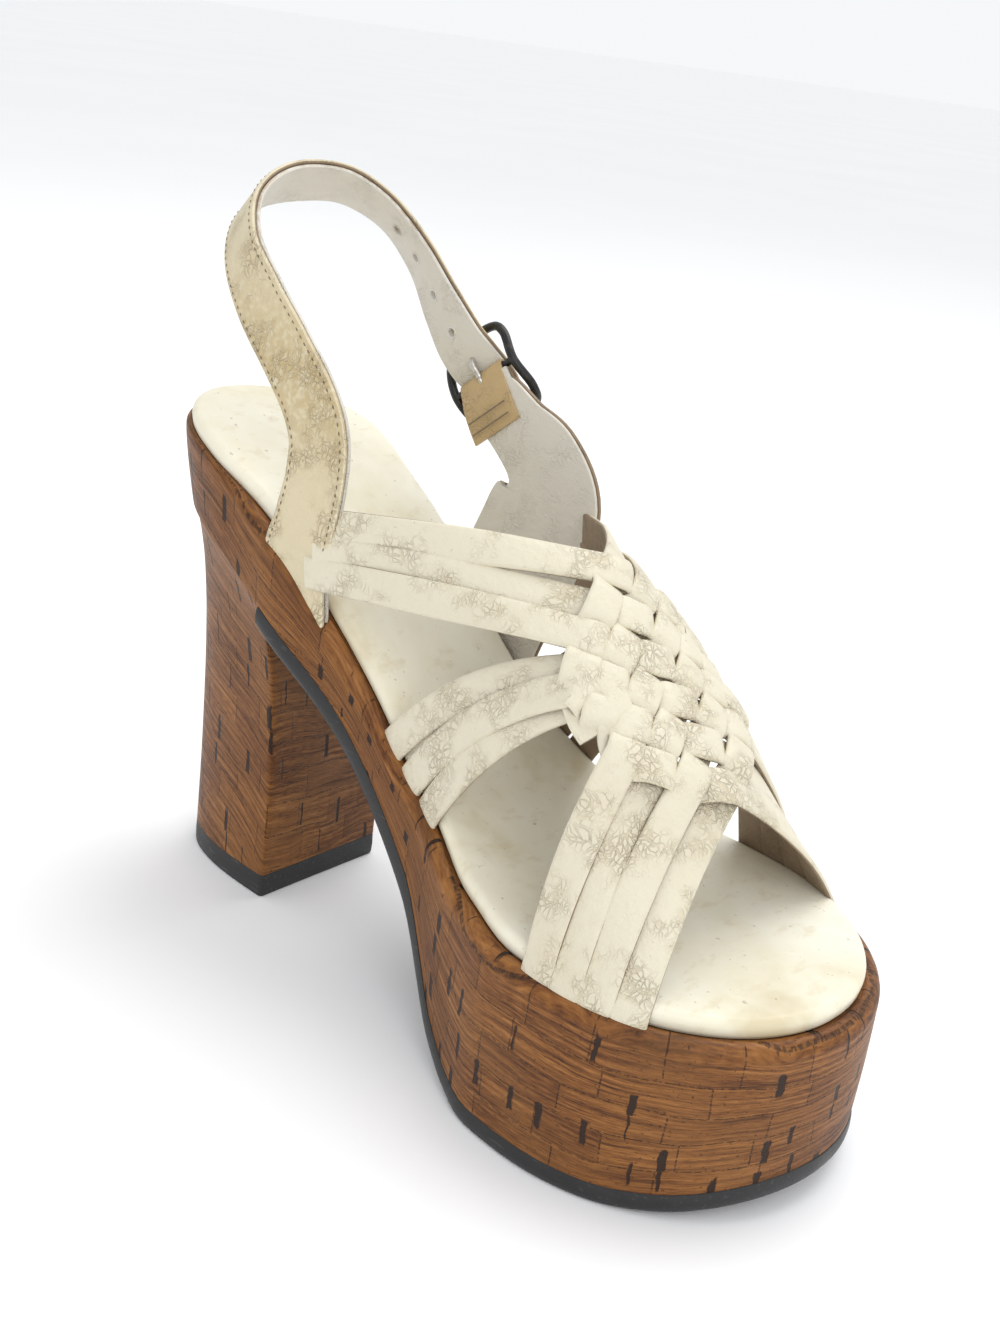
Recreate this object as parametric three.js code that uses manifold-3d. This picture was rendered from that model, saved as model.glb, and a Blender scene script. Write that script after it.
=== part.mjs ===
// Platform sandal, left foot: a high block heel and a deep platform wrapped in cork, a black outsole,
// a padded insole, narrow straps woven over the instep, and a buckled sling strap round the heel.
//
// Millimetres. +X points to the toe, +Y to the outer (lateral) side, +Z up. The shoe stands on z = 0
// and the origin is the centre of the heel's bottom face. Tables measure x from the back of the seat.
import * as THREE from "three";
import { mergeVertices } from "three/addons/utils/BufferGeometryUtils.js";
import Module from "manifold-3d";

const wasm = await Module();
wasm.setup();

// ---- driving dimensions ------------------------------------------------------------------------
const LENGTH = 221; // plan length of the sole
const GAP = 0.3; // clearance between pieces that meet
const OUTSOLE_THICK = 4.6;
const INSOLE_THICK = 4;
const LIFT_THICK = 6.9;
const SEAT_DEPTH = 20; // cork above the heel block
const SEAT_TAPER = 3.5; // how far the seat's back draws in over that depth
const HEEL_CENTRE = { x: 31, y: 3 };
const BREAST = { x: 54.8, foot: 52.1 }; // front face of the heel, at its top and at the floor

const STRAP_THICK = 2;
const STRAP_WIDTH = 8;
const STRAP_PITCH = 8; // advance of the weave along the shoe for each pair of straps
const SLING_WIDTH = 17;
const SLING_THICK = 2.6; // two layers of leather
const RIM_INSET = 2.9; // inner face of the straps, from the edge of the sole
const TUCK = 4; // length of strap that is trimmed off level with the rim
const ROUNDNESS = 2.15; // exponent of the last's cross-section: 2 is an ellipse

// Sole outline: half widths at the inner and outer side between the round heel and the round toe.
const OUTLINE = [
  { x: 27, inner: 29, outer: 30.3 },
  { x: 39, inner: 29.6, outer: 30.5 },
  { x: 57, inner: 30.2, outer: 30.5 },
  { x: 87, inner: 26.5, outer: 30 },
  { x: 112, inner: 28.8, outer: 33 },
  { x: 137, inner: 38.8, outer: 39 },
  { x: 157, inner: 46.4, outer: 43.6 },
  { x: 169, inner: 47.2, outer: 44.4 },
  { x: 177, inner: 47.2, outer: 44.4 },
];
const HEEL_ROUND = { inner: 40, outer: 32 };
const TOE_ROUND = { inner: 52, outer: 46 };

// Rim left outside the insole: narrow round the seat, wider where the straps go down.
const RIM = [
  { x: 0, inset: 1.4 },
  { x: 30, inset: 1.4 },
  { x: 56, inset: 4.2 },
  { x: LENGTH, inset: 4.2 },
];

// Top edge of the cork, and the underside of the outsole with its level tread.
const TOP_EDGE = [
  { x: 0, z: 127.9 },
  { x: 27, z: 123 },
  { x: 57, z: 108.5 },
  { x: 87, z: 80.5 },
  { x: 112, z: 59.4 },
  { x: 137, z: 47.8 },
  { x: 162, z: 46 },
  { x: 187, z: 44.9 },
  { x: LENGTH, z: 44 },
];
const TREAD = [
  { x: BREAST.x, z: 84.6 },
  { x: 72, z: 72.8 },
  { x: 87, z: 60.2 },
  { x: 99, z: 48.6 },
  { x: 112, z: 34.2 },
  { x: 124, z: 17.6 },
  { x: 132, z: 8.6 },
  { x: 142, z: 2.2 },
  { x: 153, z: 0 },
  { x: 187, z: 0 },
  { x: 202, z: 1.4 },
  { x: LENGTH, z: 6.2 },
];

// Heel block, by height as a share of its own: how far it has widened from the foot to the seat.
const HEEL_FOOT = { back: 9.8, inner: 18.8, outer: 24.4 };
const HEEL_FLARE = [
  { share: 0, widen: 0.02 },
  { share: 0.2, widen: 0 },
  { share: 0.45, widen: 0.06 },
  { share: 0.65, widen: 0.2 },
  { share: 0.82, widen: 0.46 },
  { share: 0.93, widen: 0.75 },
  { share: 1, widen: 1 },
];

// Height of the instep over the top edge of the cork.
const INSTEP = [
  { x: 47, rise: 116 },
  { x: 82, rise: 112 },
  { x: 112, rise: 99 },
  { x: 127, rise: 86 },
  { x: 139, rise: 73.5 },
  { x: 154, rise: 59.5 },
  { x: 169, rise: 47 },
  { x: 180, rise: 38 },
  { x: 197, rise: 28 },
  { x: 212, rise: 22 },
];

// Each set has five straps. It starts on one side, at the quarter or at the waist, and crosses in
// the weave to the forepart of the other side. Both sets mirror each other. Row 1 turns round at the
// far edge of the weave and comes back as the other set's row 6, and row 2 ends at the far waist.
const WEAVE = { x: 139, centre: 0.497, spread: 0.046, curl: 0.008, rows: [1, 2, 3, 4, 5, 6.3] };
const NEAR_ENDS = [
  { row: 1, x: 74.5, rise: 24, midX: 107, midRise: 55 },
  { row: 2, x: 72.5, rise: 15, midX: 106, midRise: 46.5 },
  { row: 3, x: 70.5, rise: 7, midX: 106, midRise: 38 },
  { row: 4, x: 100.5, rise: 0, midX: 116, midRise: 25.5 },
  { row: 5, x: 108.3, rise: 0, midX: 123.5, midRise: 26 },
  { row: 6.3, x: 116, rise: 0, midX: 132, midRise: 23 },
];
const FAR_ENDS = [
  { row: 3, x: 167, rise: 0, midX: 167, midRise: 20 },
  { row: 4, x: 174.4, rise: 0, midX: 175.2, midRise: 20 },
  { row: 5, x: 181.8, rise: 0, midX: 182, midRise: 20 },
  { row: 6.3, x: 189.2, rise: 0, midX: 188.5, midRise: 20 },
];

// The inner quarter narrows into the sling strap, which leans forward round the heel. The tilt is
// the angle of the strap's width above the horizontal, the turn is its angle across the shoe, and
// y is its inner face.
const SLING = [
  { x: 59.5, y: -26.4, z: 96, width: 20, tilt: -43, turn: 7 },
  { x: 60.5, y: -26.5, z: 100.5, width: 20, tilt: -43, turn: 7 },
  { x: 64.5, y: -27.3, z: 107.5, width: 19.5, tilt: -26, turn: 6 },
  { x: 68.5, y: -27.8, z: 116, width: 18.6, tilt: -8, turn: 4 },
  { x: 71, y: -27.9, z: 126.3, width: 19, tilt: 2, turn: 2 },
  { x: 70.8, y: -27.6, z: 136.4, width: 19, tilt: 14, turn: 2 },
  { x: 66.4, y: -27.2, z: 144.3, width: 18, tilt: 28, turn: 3 },
  { x: 56.3, y: -26.8, z: 154.3, width: SLING_WIDTH, tilt: 38, turn: 3 },
  { x: 45.2, y: -26.2, z: 164.2, width: SLING_WIDTH, tilt: 40, turn: 0 },
  { x: 35.4, y: -23.9, z: 173.6, width: SLING_WIDTH, tilt: 40, turn: -9 },
  { x: 28, y: -17.2, z: 181.4, width: SLING_WIDTH, tilt: 40, turn: -11 },
  { x: 24, y: -7.2, z: 186.1, width: SLING_WIDTH, tilt: 40, turn: -10 },
  { x: 23.6, y: 3.9, z: 187.8, width: SLING_WIDTH, tilt: 40, turn: -22 },
  { x: 27, y: 14.7, z: 187.2, width: SLING_WIDTH, tilt: 40, turn: -38 },
  { x: 33.5, y: 23, z: 182, width: SLING_WIDTH, tilt: 40, turn: -40 },
  { x: 41.6, y: 27.8, z: 172.6, width: SLING_WIDTH, tilt: 40, turn: -31 },
  { x: 50, y: 29.6, z: 161.4, width: SLING_WIDTH, tilt: 40, turn: -15 },
  { x: 57.4, y: 31, z: 152.6, width: SLING_WIDTH, tilt: 40, turn: -4 },
  { x: 61.6, y: 33, z: 148.2, width: SLING_WIDTH, tilt: 40, turn: 0 },
  { x: 65.4, y: 35.7, z: 144.2, width: SLING_WIDTH - 1, tilt: 40, turn: 0 },
  { x: 71.2, y: 35.9, z: 138, width: SLING_WIDTH - 2, tilt: 40, turn: 0 },
  { x: 76.5, y: 35.4, z: 132.4, width: SLING_WIDTH - 3, tilt: 40, turn: 0 },
  { x: 80.5, y: 35.2, z: 127.6, width: SLING_WIDTH - 9, tilt: 40, turn: 0 },
];
// The outer quarter narrows upwards into the loop that holds the buckle.
const BUCKLE_QUARTER = [
  { x: 80, y: 27.4, z: 72, width: 33, tilt: -6, turn: 0 },
  { x: 83, y: 28, z: 86, width: 34, tilt: -8, turn: 0 },
  { x: 87, y: 28.8, z: 99, width: 35, tilt: -12, turn: 0 },
  { x: 91.6, y: 29.5, z: 111, width: 36, tilt: -12, turn: 0 },
  { x: 94, y: 29.9, z: 121, width: 33, tilt: 4, turn: 0 },
  { x: 89.8, y: 30.2, z: 129.8, width: 26, tilt: 30, turn: 0 },
  { x: 81, y: 30.6, z: 135.7, width: 20, tilt: 50, turn: 0 },
  { x: 74.8, y: 31, z: 139.4, width: 18.6, tilt: 52, turn: 0 },
  { x: 70.4, y: 31.4, z: 142, width: SLING_WIDTH, tilt: 46, turn: 0 },
  { x: 67.1, y: 32, z: 145.6, width: SLING_WIDTH - 1, tilt: 40, turn: 0 },
];

// Buckle: a frame of round bar, arched over the sling strap, on a middle bar that the loop holds.
// Rows run down the strap from the middle bar, y is the middle of the bar, and the frame's ends
// are rounded in.
const BUCKLE = { x: 65, z: 145.4, tilt: 40, width: 25.4, bar: 2.4 };
const FRAME = [
  { down: -11, y: 36.2, inset: 3.4 },
  { down: -8, y: 35.4, inset: 0.7 },
  { down: 0, y: 34, inset: 0 },
  { down: 8, y: 37.8, inset: 0.4 },
  { down: 11, y: 40.3, inset: 3.4 },
];
// The prong goes from the middle bar through the strap and rests on the frame's upper end.
const PRONG = [
  { down: -1.9, y: 32.2 },
  { down: -5, y: 32 },
  { down: -8.4, y: 37.9 },
  { down: -12.6, y: 39.4 },
];
const PRONG_THICK = 1.8;
const HOLES = { radius: 1.3, first: 14.5, pitch: 10.6, count: 4 };

const colours = {
  cork: 0xb5793f,
  black: 0x141416,
  cream: 0xe9e2cd,
  lining: 0xe8e3d6,
  metal: 0x2b2927,
  steel: 0xb9b6ae,
};

// ---- reading the tables ------------------------------------------------------------------------
// Smooth value of a column at x, without overshoot between rows.
function read(table, column, x, key = "x") {
  const last = table.length - 1;
  const at = Math.min(Math.max(x, table[0][key]), table[last][key]);
  const slope = (i) => (table[i + 1][column] - table[i][column]) / (table[i + 1][key] - table[i][key]);
  const bend = (i) => {
    if (i === 0) return slope(0);
    if (i === last) return slope(last - 1);
    const before = slope(i - 1);
    const after = slope(i);
    return before * after <= 0 ? 0 : (2 * before * after) / (before + after);
  };
  let i = 0;
  while (i < last - 1 && at > table[i + 1][key]) i++;
  const span = table[i + 1][key] - table[i][key];
  const s = (at - table[i][key]) / span;
  const rise = table[i + 1][column] - table[i][column];
  const startBend = bend(i) * span - rise;
  const endBend = rise - bend(i + 1) * span;
  return table[i][column] + s * rise + s * (1 - s) * ((1 - s) * startBend + s * endBend);
}

// Half width of the sole at x, on the inner or the outer side.
function halfWidth(x, side) {
  const back = HEEL_ROUND[side];
  const front = LENGTH - TOE_ROUND[side];
  const table = read(OUTLINE, side, Math.min(Math.max(x, back), front));
  if (x < back) return table * Math.sqrt(Math.max(0, 1 - ((back - x) / back) ** 2));
  if (x > front) return table * Math.sqrt(Math.max(0, 1 - ((x - front) / (LENGTH - front)) ** 2));
  return table;
}

const topEdge = (x) => read(TOP_EDGE, "z", x);
const tread = (x) => read(TREAD, "z", x);

// Height of a layer's upper face over a sloping line, for a thickness square to that line.
function raised(line, x, thick) {
  const slope = (line(x + 0.5) - line(x - 0.5)) / 1;
  return line(x) + thick * Math.min(Math.sqrt(1 + slope * slope), 1.7);
}

const seatTaper = (x) => SEAT_TAPER * Math.max(0, 1 - x / BREAST.x);
const flush = () => 0;
const outsoleTop = (x) => raised(tread, x, OUTSOLE_THICK);
const corkBottom = (x) => (x > BREAST.x ? outsoleTop(x) + GAP : topEdge(x) - SEAT_DEPTH);

// Stations along the shoe, close together at the round ends.
function stations(from, to, count, ends) {
  return Array.from({ length: count + 1 }, (_, i) => {
    const even = i / count;
    const round = (1 - Math.cos(Math.PI * even)) / 2;
    return from + (to - from) * (even + (round - even) * ends);
  });
}

// ---- solids ------------------------------------------------------------------------------------
function geometryOf(points, faces) {
  const geometry = new THREE.BufferGeometry();
  geometry.setAttribute("position", new THREE.Float32BufferAttribute(points.flat(), 3));
  geometry.setIndex(faces.flat());
  return geometry;
}

// A closed loft through rings of equal length, each listed clockwise as seen from the loft's start.
function loft(rings) {
  const n = rings[0].length;
  const faces = [];
  for (let r = 0; r < rings.length - 1; r++) {
    for (let k = 0; k < n; k++) {
      const a = r * n + k;
      const b = r * n + ((k + 1) % n);
      faces.push([a, b, b + n], [a, b + n, a + n]);
    }
  }
  const end = (rings.length - 1) * n;
  for (let k = 1; k < n - 1; k++) {
    faces.push([0, k + 1, k], [end, end + k, end + k + 1]);
  }
  return geometryOf(rings.flat(), faces);
}

// The outline's two edges at x, drawn in by an inset.
function edges(x, inset) {
  const inward = (y) => Math.max(y - (inset * y) / Math.hypot(y, inset, 0.1), 0.6);
  const at = inset + (x * (LENGTH - 2 * inset)) / LENGTH;
  return { at, inner: -inward(halfWidth(x, "inner")), outer: inward(halfWidth(x, "outer")) };
}

// A layer between two heights that follows the outline, each face drawn in by an inset of its own.
function layer(xs, bottom, top, bottomInset, topInset) {
  return loft(
    xs.map((x) => {
      const low = edges(x, bottomInset(x));
      const high = edges(x, topInset(x));
      return [
        [low.at, low.inner, bottom(low.at)],
        [low.at, low.outer, bottom(low.at)],
        [high.at, high.outer, top(high.at)],
        [high.at, high.inner, top(high.at)],
      ];
    }),
  );
}

function solidOf(geometry) {
  const plain = geometry.index ? geometry.toNonIndexed() : geometry.clone();
  for (const name of Object.keys(plain.attributes)) {
    if (name !== "position") plain.deleteAttribute(name);
  }
  const merged = mergeVertices(plain, 1e-4);
  return new wasm.Manifold(
    new wasm.Mesh({
      numProp: 3,
      vertProperties: merged.attributes.position.array,
      triVerts: new Uint32Array(merged.index.array),
    }),
  );
}

// The largest of a solid's separate pieces, without the crumbs that a cut leaves.
function largest(solid) {
  const pieces = solid.decompose();
  return pieces.reduce((a, b) => (b.volume() > a.volume() ? b : a));
}

function geometryFrom(solid) {
  const mesh = solid.getMesh();
  const geometry = new THREE.BufferGeometry();
  geometry.setAttribute("position", new THREE.BufferAttribute(mesh.vertProperties, 3));
  geometry.setIndex(new THREE.BufferAttribute(mesh.triVerts, 1));
  return geometry;
}

// A flat strip through centre points on its inner face, each with its width and outward directions,
// grown all round by a margin.
function strip(points, thick, margin = 0) {
  return loft(
    points.map(({ centre, across, out, width }) => {
      const half = across.clone().multiplyScalar(width / 2 + margin);
      const inner = centre.clone().addScaledVector(out, -margin);
      const outer = centre.clone().addScaledVector(out, thick + margin);
      return [
        inner.clone().sub(half),
        inner.clone().add(half),
        outer.clone().add(half),
        outer.clone().sub(half),
      ].map((p) => p.toArray());
    }),
  );
}

// ---- sole unit ---------------------------------------------------------------------------------
const seatStations = stations(0, BREAST.x, 14, 0.9);
const soleStations = stations(BREAST.x + GAP, LENGTH, 44, 0.75);

function makePlatform() {
  return layer([...seatStations, ...soleStations], corkBottom, topEdge, seatTaper, flush);
}

function makeOutsole() {
  return layer(soleStations, tread, outsoleTop, flush, flush);
}

function makeInsole() {
  const base = (x) => topEdge(x) + GAP;
  const face = (x) => topEdge(x) + GAP + INSOLE_THICK;
  const inset = (x) => read(RIM, "inset", x);
  return layer(stations(0, LENGTH, 46, 0.8), base, face, inset, inset);
}

// One level of the heel block, from the outer breast corner round the back to the inner one.
function heelRing(widen, height) {
  const steps = 28;
  return Array.from({ length: steps + 1 }, (_, i) => {
    const angle = Math.PI * (0.5 - i / steps);
    const side = angle < 0 ? "inner" : "outer";
    const boxy = 2 / 2.7;
    const reach = Math.abs(Math.cos(angle)) ** boxy;
    const aside = Math.abs(Math.sin(angle));
    const seatX = BREAST.x * (1 - reach);
    const seat = edges(seatX, seatTaper(seatX));
    const footX = BREAST.foot - (BREAST.foot - HEEL_FOOT.back) * reach;
    const footY = Math.sign(angle) * HEEL_FOOT[side] * aside ** boxy;
    const x = footX * (1 - widen) + seat.at * widen;
    const y = footY * (1 - widen) + seat[side] * Math.min(1, aside * 8) * widen;
    return [x, y, height(x)];
  });
}

function makeHeel() {
  const roof = (x) => topEdge(x) - SEAT_DEPTH - GAP;
  const floor = LIFT_THICK + GAP;
  const rings = HEEL_FLARE.map(({ share, widen }) =>
    heelRing(widen, (x) => floor + (roof(x) - floor) * share),
  );
  return loft(rings);
}

function makeTopLift() {
  return loft([0, 1].map((share) => heelRing(0.02, () => share * LIFT_THICK)));
}

// ---- upper -------------------------------------------------------------------------------------
// The last under the straps: "round" runs from 0 at the inner rim over the instep to 1 at the outer.
function lastPoint(x, round) {
  const inner = halfWidth(x, "inner") - RIM_INSET;
  const outer = halfWidth(x, "outer") - RIM_INSET;
  const angle = Math.PI * round;
  const power = 2 / ROUNDNESS;
  const aside = Math.sign(Math.cos(angle)) * Math.abs(Math.cos(angle)) ** power;
  const up = Math.abs(Math.sin(angle)) ** power;
  const y = (outer - inner) / 2 - ((outer + inner) / 2) * aside;
  return new THREE.Vector3(x, y, topEdge(x) + GAP + (read(INSTEP, "rise", x) - STRAP_THICK) * up);
}

function lastNormal(x, round) {
  const along = lastPoint(x + 0.5, round).sub(lastPoint(x - 0.5, round));
  const near = Math.min(Math.max(round, 0.004), 0.996);
  const over = lastPoint(x, near + 0.003).sub(lastPoint(x, near - 0.003));
  return over.cross(along).normalize().negate();
}

// The share of the way round at which the last's inner side has risen by a height.
function roundAt(x, rise) {
  const share = Math.min(rise / (read(INSTEP, "rise", x) - STRAP_THICK), 1);
  return Math.asin(share ** (ROUNDNESS / 2)) / Math.PI;
}

// All that lies below the rim on which the straps stand, to trim their ends.
function ground() {
  const xs = [-20, ...stations(0, LENGTH, 40, 0), LENGTH + 20];
  const rim = (x) => topEdge(x) + GAP;
  const rings = xs.map((x) => [
    [x, -90, -20],
    [x, 90, -20],
    [x, 90, rim(x)],
    [x, -90, rim(x)],
  ]);
  return solidOf(loft(rings));
}

// Where strap i of the outer set crosses strap j of the inner set.
function crossing(i, j) {
  const aside = i - j;
  const round = WEAVE.centre + WEAVE.spread * aside * (1 - WEAVE.curl * aside * aside);
  return { x: WEAVE.x + (STRAP_PITCH * (i + j - 2)) / 2, round };
}

// A strap over the last through places given by x and round.
function strapOver(places, steps) {
  const path = new THREE.CatmullRomCurve3(
    places.map(({ x, round }) => new THREE.Vector3(x, round * 150, 0)),
    false,
    "centripetal",
  );
  const spots = path.getPoints(steps).map((p) => ({ x: p.x, round: p.y / 150 }));
  const centres = spots.map(({ x, round }) => lastPoint(x, round));
  const points = spots.map(({ x, round }, i) => {
    const ahead = centres[Math.min(i + 1, steps)];
    const behind = centres[Math.max(i - 1, 0)];
    const out = lastNormal(x, round);
    const across = out.clone().cross(ahead.clone().sub(behind)).normalize();
    return { centre: centres[i], across, out, width: STRAP_WIDTH };
  });
  const foot = points[0];
  const sunk = foot.centre.clone().sub(new THREE.Vector3(0, 0, TUCK));
  return [{ ...foot, centre: sunk }, ...points];
}

// A leg from the rim or the quarter to the weave. Outer legs mirror the inner ones.
function leg(end, entry, outer) {
  const place = (x, rise) => ({ x, round: roundAt(x, rise) });
  const inside = [place(end.x, end.rise), place(end.midX, end.midRise), ...entry.map((e) => crossing(...e))];
  const flip = ({ x, round }) => ({ x, round: outer ? 1 - round : round });
  return strip(strapOver(inside.map(flip), 12), STRAP_THICK);
}

// The close weave, one wall.
function weaveWall() {
  const steps = 12;
  const from = 0.55;
  const to = 6.75;
  const place = (k) => from + ((to - from) * k) / steps;
  const grid = (lift) =>
    Array.from({ length: (steps + 1) ** 2 }, (_, k) => {
      const { x, round } = crossing(place(Math.floor(k / (steps + 1))), place(k % (steps + 1)));
      return lastPoint(x, round).addScaledVector(lastNormal(x, round), lift).toArray();
    });
  const inner = grid(-0.05);
  const outer = grid(STRAP_THICK + 0.15);
  const faces = [];
  const size = inner.length;
  const index = (i, j) => i * (steps + 1) + j;
  for (let i = 0; i < steps; i++) {
    for (let j = 0; j < steps; j++) {
      const [a, b, c, d] = [index(i, j), index(i + 1, j), index(i + 1, j + 1), index(i, j + 1)];
      faces.push([a, b, c], [a, c, d], [a + size, c + size, b + size], [a + size, d + size, c + size]);
    }
    const border = [
      [index(i, 0), index(i + 1, 0)],
      [index(i + 1, steps), index(i, steps)],
      [index(0, i + 1), index(0, i)],
      [index(steps, i), index(steps, i + 1)],
    ];
    for (const [a, b] of border) faces.push([b, a, a + size], [b, a + size, b + size]);
  }
  return geometryOf([...inner, ...outer], faces);
}

function makeUpper() {
  let upper = solidOf(weaveWall());
  for (const outer of [false, true]) {
    for (const end of NEAR_ENDS) {
      const entry = [0.75, 1.6].map((i) => [i, end.row]);
      upper = upper.add(solidOf(leg(end, entry, outer)));
    }
    for (const end of FAR_ENDS) {
      const entry = [6.6, 5.8].map((j) => [end.row, j]);
      upper = upper.add(solidOf(leg(end, entry, outer)));
    }
  }
  for (const quarter of [tablePath(SLING, 2, true), tablePath(BUCKLE_QUARTER, 2, false)]) {
    upper = upper.subtract(solidOf(strip(quarter, SLING_THICK, 2 * GAP)));
  }
  return geometryFrom(largest(upper.subtract(ground())));
}

// Points of a strap from its table, resampled on a smooth path.
function tablePath(table, steps, inward) {
  const rows = table.map((row, i) => ({ ...row, i }));
  const path = new THREE.CatmullRomCurve3(
    rows.map(({ x, y, z }) => new THREE.Vector3(x, y, z)),
    false,
    "centripetal",
  );
  const count = (rows.length - 1) * steps;
  return Array.from({ length: count + 1 }, (_, k) => {
    const t = k / count;
    const centre = path.getPoint(t);
    const tilt = THREE.MathUtils.degToRad(read(rows, "tilt", k / steps, "i"));
    const turn = THREE.MathUtils.degToRad(read(rows, "turn", k / steps, "i"));
    const across = new THREE.Vector3(Math.cos(tilt), Math.sin(turn), Math.sin(tilt));
    const out = path.getTangent(t).cross(across).normalize();
    if (inward) out.negate();
    across.crossVectors(out, path.getTangent(t)).normalize();
    return { centre, across, out, width: read(rows, "width", k / steps, "i") };
  });
}

// A round pin between two points, for holes and bars.
function pin(from, to, radius) {
  const axis = to.clone().sub(from);
  const geometry = new THREE.CylinderGeometry(radius, radius, axis.length(), 8);
  const turn = new THREE.Quaternion().setFromUnitVectors(
    new THREE.Vector3(0, 1, 0),
    axis.clone().normalize(),
  );
  geometry.applyQuaternion(turn);
  const middle = from.clone().add(to).multiplyScalar(0.5);
  geometry.translate(middle.x, middle.y, middle.z);
  return geometry;
}

// A place on the buckle: down the strap from the middle bar, and across it.
function atBuckle(down, across, y) {
  const tilt = THREE.MathUtils.degToRad(BUCKLE.tilt);
  const x = BUCKLE.x + down * Math.sin(tilt) + across * Math.cos(tilt);
  return new THREE.Vector3(x, y, BUCKLE.z - down * Math.cos(tilt) + across * Math.sin(tilt));
}

// Round bar through a list of places, with ball joints.
function bar(places, thick) {
  const joints = places.slice(1, -1).map((p) => {
    return new THREE.SphereGeometry(thick / 2, 8, 6).translate(p.x, p.y, p.z);
  });
  const pins = places.slice(1).map((p, i) => pin(places[i], p, thick / 2));
  return [...pins, ...joints].map(solidOf).reduce((a, b) => a.add(b));
}

function prong(thick) {
  return bar(PRONG.map(({ down, y }) => atBuckle(down, 0, y)), thick);
}

function makeBuckleFrame() {
  const side = (BUCKLE.width - BUCKLE.bar) / 2;
  const rail = (aside) =>
    FRAME.map(({ down, y, inset }) => atBuckle(down, aside * (side - inset), y));
  const back = rail(-1);
  const front = rail(1).reverse();
  const around = bar([...back, ...front, back[0], back[1]], BUCKLE.bar);
  return geometryFrom(around.add(bar([back[2], front[2]], BUCKLE.bar - 0.4)));
}

function makeSling() {
  const points = tablePath(SLING, 2, true);
  let sling = solidOf(strip(points, SLING_THICK));
  for (let k = 0; k < HOLES.count; k++) {
    const middle = atBuckle(-HOLES.first - k * HOLES.pitch, 0, SLING[16].y);
    const distance = (p) => p.centre.distanceTo(middle);
    const nearest = points.reduce((a, b) => (distance(b) < distance(a) ? b : a));
    const from = nearest.centre.clone().addScaledVector(nearest.out, -2);
    const to = nearest.centre.clone().addScaledVector(nearest.out, SLING_THICK + 2);
    sling = sling.subtract(solidOf(pin(from, to, HOLES.radius)));
  }
  sling = sling.subtract(prong(PRONG_THICK + 2 * GAP));
  return geometryFrom(largest(sling.subtract(ground())));
}

function makeBuckleQuarter() {
  const quarter = solidOf(strip(tablePath(BUCKLE_QUARTER, 2, false), SLING_THICK));
  return geometryFrom(largest(quarter.subtract(ground())));
}

// ---- assembly ----------------------------------------------------------------------------------
const shoe = new THREE.Group();
shoe.position.set(-HEEL_CENTRE.x, -HEEL_CENTRE.y, 0);

function add(name, geometry, colour, roughness = 0.7, metalness = 0) {
  const material = new THREE.MeshStandardMaterial({ color: colour, roughness, metalness });
  const mesh = new THREE.Mesh(geometry, material);
  mesh.name = name;
  shoe.add(mesh);
}

add("outsole", makeOutsole(), colours.black, 0.45);
add("platform", makePlatform(), colours.cork, 0.75);
add("heel", makeHeel(), colours.cork, 0.75);
add("top_lift", makeTopLift(), colours.black, 0.5);
add("insole", makeInsole(), colours.cream, 0.6);
add("upper", makeUpper(), colours.cream, 0.5);
add("sling_strap", makeSling(), colours.cream, 0.5);
add("buckle_strap", makeBuckleQuarter(), colours.lining, 0.6);
add("buckle_frame", makeBuckleFrame(), colours.metal, 0.35, 0.8);
add("buckle_prong", geometryFrom(prong(PRONG_THICK)), colours.steel, 0.3, 0.9);

export default shoe;
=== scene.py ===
import math

import bpy
from mathutils import Matrix, Vector


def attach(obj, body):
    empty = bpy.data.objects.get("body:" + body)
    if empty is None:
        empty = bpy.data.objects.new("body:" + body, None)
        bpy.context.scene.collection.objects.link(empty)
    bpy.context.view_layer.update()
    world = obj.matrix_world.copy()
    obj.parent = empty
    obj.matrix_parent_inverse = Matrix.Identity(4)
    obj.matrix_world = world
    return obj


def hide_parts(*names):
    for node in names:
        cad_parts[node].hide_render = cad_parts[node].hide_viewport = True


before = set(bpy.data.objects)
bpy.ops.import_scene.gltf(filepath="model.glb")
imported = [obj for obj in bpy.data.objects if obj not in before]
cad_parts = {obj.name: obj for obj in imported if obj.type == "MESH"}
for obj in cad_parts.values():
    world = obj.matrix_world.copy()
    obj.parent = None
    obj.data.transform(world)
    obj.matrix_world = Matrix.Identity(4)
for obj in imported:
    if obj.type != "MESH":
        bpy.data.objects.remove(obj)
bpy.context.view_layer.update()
bpy.ops.object.select_all(action="DESELECT")

# A left platform sandal. Tables and lengths are in millimetres, x from the back of the seat to the
# toe, y to the outer side of the foot and z up from the floor. place() turns them into metres about
# the centre of the heel's foot.

LENGTH = 221
HEEL_CENTRE = (31, 3)
OUTSOLE_THICK = 4.6
JOINT = 0.3
INSOLE_THICK = 4
LIFT_THICK = 6.9
SEAT_DEPTH = 20
SEAT_TAPER = 3.5
BREAST, BREAST_FOOT = 54.8, 52.1
STRAP_WIDTH = 8.4
STRAP_THICK = 1.5
SLING_THICK = 2.6
RIM_INSET = 2.9
ROUNDNESS = 2.15
LAST_GIRTH = 170
WHOLE_SIDE = 42

# Plan of the sole between its round ends: x, inner half width, outer half width.
OUTLINE = [
    (27, 29, 30.3), (39, 29.6, 30.5), (57, 30.2, 30.5), (87, 26.5, 30), (112, 28.8, 33),
    (137, 38.8, 39), (157, 46.4, 43.6), (169, 47.2, 44.4), (177, 47.2, 44.4),
]
# Length of the round ends, and in every such table 1 is the inner side and 2 the outer.
HEEL_ROUND = {1: 40, 2: 32}
TOE_ROUND = {1: 52, 2: 46}
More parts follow.
